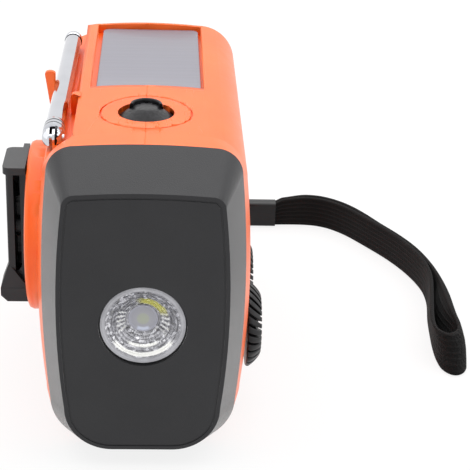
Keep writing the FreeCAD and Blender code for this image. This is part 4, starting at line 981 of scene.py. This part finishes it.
def chromed(piece, body, node, angle=40.0):
    smooth(piece, angle)
    level_shading(piece)
    finish_piece(piece, body, chrome, node)


def paint_shade(piece, faces):
    """Gives the faces that pass the test a dark metal finish: painted shade that stands in for the shadow in
    a groove or slot.
    """
    piece.data.materials.append(painted_shade_metal)
    pick(piece, faces=faces)
    piece.active_material_index = len(piece.data.materials) - 1
    bpy.ops.object.material_slot_assign()
    leave()


def antenna_ball_joint():
    """A slotted ball with a collar behind it; two thin bands round the collar and the faces of the slot are
    painted dark, as painted shade of grooves and a slot.
    """
    profile = [(-2.45, 0), (-2.4, 0.55), (-2.15, 1.2), (-1.7, 1.75), (-1.1, 2.15), (-0.5, 2.4), (0.2, 2.45),
               (1.1, 2.3), (1.9, 1.95), (2.4, 1.8), (2.5, 2.3), (2.6, 2.48), (3.4, 2.52), (3.42, 2.48),
               (4.0, 2.48), (4.02, 2.52), (5.15, 2.52), (5.17, 2.48), (5.8, 2.48), (5.82, 2.52), (6.8, 2.5),
               (7.0, 2.4), (7.0, 0)]
    ring_middles, ring_half_width = (3.71, 5.49), 0.2
    slot_half_width, slot_end = 0.62, 2.35
    knuckle = antenna_part("antenna_ball_joint", [(pivot + along, radius) for along, radius in profile])
    carve(knuckle, [block("slot", (antenna_x - slot_half_width, pivot - 4, antenna_z - 4),
                          (antenna_x + slot_half_width, pivot + slot_end, antenna_z + 4))])
    aim(knuckle)
    chromed(knuckle, "antenna", "antenna_knuckle")
    # Painted shade: the two ring bands and the slot's faces get the dark metal
    paint_shade(knuckle, lambda at, facing:
           any(abs(at.y - pivot - middle) < ring_half_width for middle in ring_middles)
           or (at.y < pivot + slot_end + 0.05 and abs(at.x - antenna_x) < slot_half_width + 0.02))


def antenna_outer_tube():
    """The outer tube, with its far end turned in round the next section."""
    start, radius, bore = knuckle_end, 2.2, 1.7
    tube = antenna_part("antenna_outer_tube", [
        (start, 1.3), (start, radius - 0.1), (start + 0.15, radius), (36.4, radius), (36.7, radius - 0.08),
        (36.8, radius - 0.25), (36.7, bore + 0.02), (36.0, bore), (start + 0.6, bore), (start, 1.3)])
    aim(tube)
    chromed(tube, "antenna", "antenna_section_1", 50.0)


def antenna_end_cap():
    """The tip: a round cap with a small dimple in its end; its base and the dimple are painted dark, as
    painted shade.
    """
    tip = antenna_part("antenna_end_cap", [
        (37.0, 0.8), (37.0, 2.05), (37.15, 2.3), (37.4, 2.4), (38.8, 2.4), (39.4, 2.32), (39.9, 2.1),
        (40.25, 1.72), (40.4, 1.4), (40.45, 0.9), (40.2, 0.7), (40.2, 0)])
    chromed(tip, "antenna_5", "antenna_tip")
    # Painted shade: the base of the cap and the dimple in its end get the dark metal
    paint_shade(tip, lambda at, facing: at.y < 37.12
           or at.y > 40.1 and math.hypot(at.x - antenna_x, at.z - antenna_z) < 1.0)


antenna_ball_joint()
antenna_outer_tube()
antenna_end_cap()


# Finishes of the solids that keep their own shape
finishes = (
    (steel, ("grip_pin", "crank_shaft", "crank_screw", "idler_axle", "gearbox_plate", "gearbox_screws",
             "generator", "antenna_pin", "tuning_spindle", "volume_spindle", "volume_pot", "band_switch_body",
             "board_screws", "speaker", "usb_socket", "charge_socket", "case_screws")),
    (chrome, ("antenna_mount", "antenna_section_2", "antenna_section_3", "antenna_section_4",
              "antenna_section_5")),
    (board_green, ("led_board", "switch_board", "main_board", "port_board")),
    (black_plastic, ("button_switch", "crank_grip", "band_switch", "battery_holder")),
    (acetal, ("drive_gear", "idler_gear", "tuning_dial", "tuning_capacitor")),
    (brass, ("crank_bush", "generator_pinion")),
    (crank_grey, ("grip_stem",)),
    (black_rubber, ("port_cover",)),
    (clear, ("dial_window",)),
    (phosphor, ("lamp_led",)),
    (cone_paper, ("speaker_cone",)),
    (battery_blue, ("battery",)),
    (ferrite_grey, ("ferrite_rod",)),
)
for material, names in finishes:
    for name in names:
        nodes[name].data.materials.clear()
        nodes[name].data.materials.append(material)


# Floor, backdrop and light
def seen_share(tree, share):
    """The share of a surface's white that only camera, glossy and transmitted rays meet."""
    path = tree.nodes.new("ShaderNodeLightPath")
    total = path.outputs["Is Camera Ray"]
    for ray in ("Is Glossy Ray", "Is Transmission Ray"):
        total = number(tree, "MAXIMUM", total, path.outputs[ray])
    return number(tree, "MULTIPLY", total, share)


def mixed(tree, share, under, over, output):
    """Mixes two shaders by share and gives the result to the output node."""
    mix = tree.nodes.new("ShaderNodeMixShader")
    tree.links.new(share, mix.inputs["Fac"])
    tree.links.new(under, mix.inputs[1])
    tree.links.new(over, mix.inputs[2])
    tree.links.new(mix.outputs["Shader"], output.inputs["Surface"])


def pale_floor():
    white_share = 0.84
    material, tree, shader = new_material("pale_floor")
    set_sockets(shader, Base_Color=(0.86, 0.86, 0.86, 1.0), Roughness=0.8, Specular_IOR_Level=0.1)
    white = tree.nodes.new("ShaderNodeEmission")
    mixed(tree, seen_share(tree, white_share), shader.outputs["BSDF"], white.outputs["Emission"],
          tree.nodes["Material Output"])
    return material


def studio():
    """A wide floor in a white room, which lights softly and shows as pure white."""
    lit_strength, seen_strength = 0.5, 1.0
    deselect()
    bpy.ops.mesh.primitive_plane_add(size=6.0, location=(0, 0, -0.0003))
    floor = settle("floor")
    floor.data.materials.append(pale_floor())
    world = bpy.data.worlds.new("soft_room")
    world.use_nodes = True
    bpy.context.scene.world = world
    tree = world.node_tree
    tree.nodes.clear()
    glows = []
    for strength in (lit_strength, seen_strength):
        glow = tree.nodes.new("ShaderNodeBackground")
        set_sockets(glow, Color=(1.0, 1.0, 1.0, 1.0), Strength=strength)
        glows.append(glow.outputs["Background"])
    mixed(tree, seen_share(tree, 1.0), *glows, tree.nodes.new("ShaderNodeOutputWorld"))


def soft_light(name, place, target, size, power):
    data = bpy.data.lights.new(name, "AREA")
    data.shape = "RECTANGLE"
    data.size, data.size_y = size
    data.energy = power
    lamp = bpy.data.objects.new(name, data)
    bpy.context.collection.objects.link(lamp)
    beam = Vector(target) - Vector(place)
    lamp.matrix_world = Matrix.Translation(place) @ beam.to_track_quat("-Z", "Y").to_matrix().to_4x4()


studio()
soft_light("overhead_softbox", (0.0, 0.3, 1.05), (0, 0, 0.05), size=(2.0, 2.0), power=24.0)
soft_light("left_softbox", (-0.95, 0.0, 0.35), (0, 0, 0.04), size=(1.4, 1.1), power=2.5)
soft_light("right_softbox", (0.95, 0.0, 0.35), (0, 0, 0.04), size=(1.4, 1.1), power=3.5)
bpy.context.scene.view_settings.view_transform = "Standard"
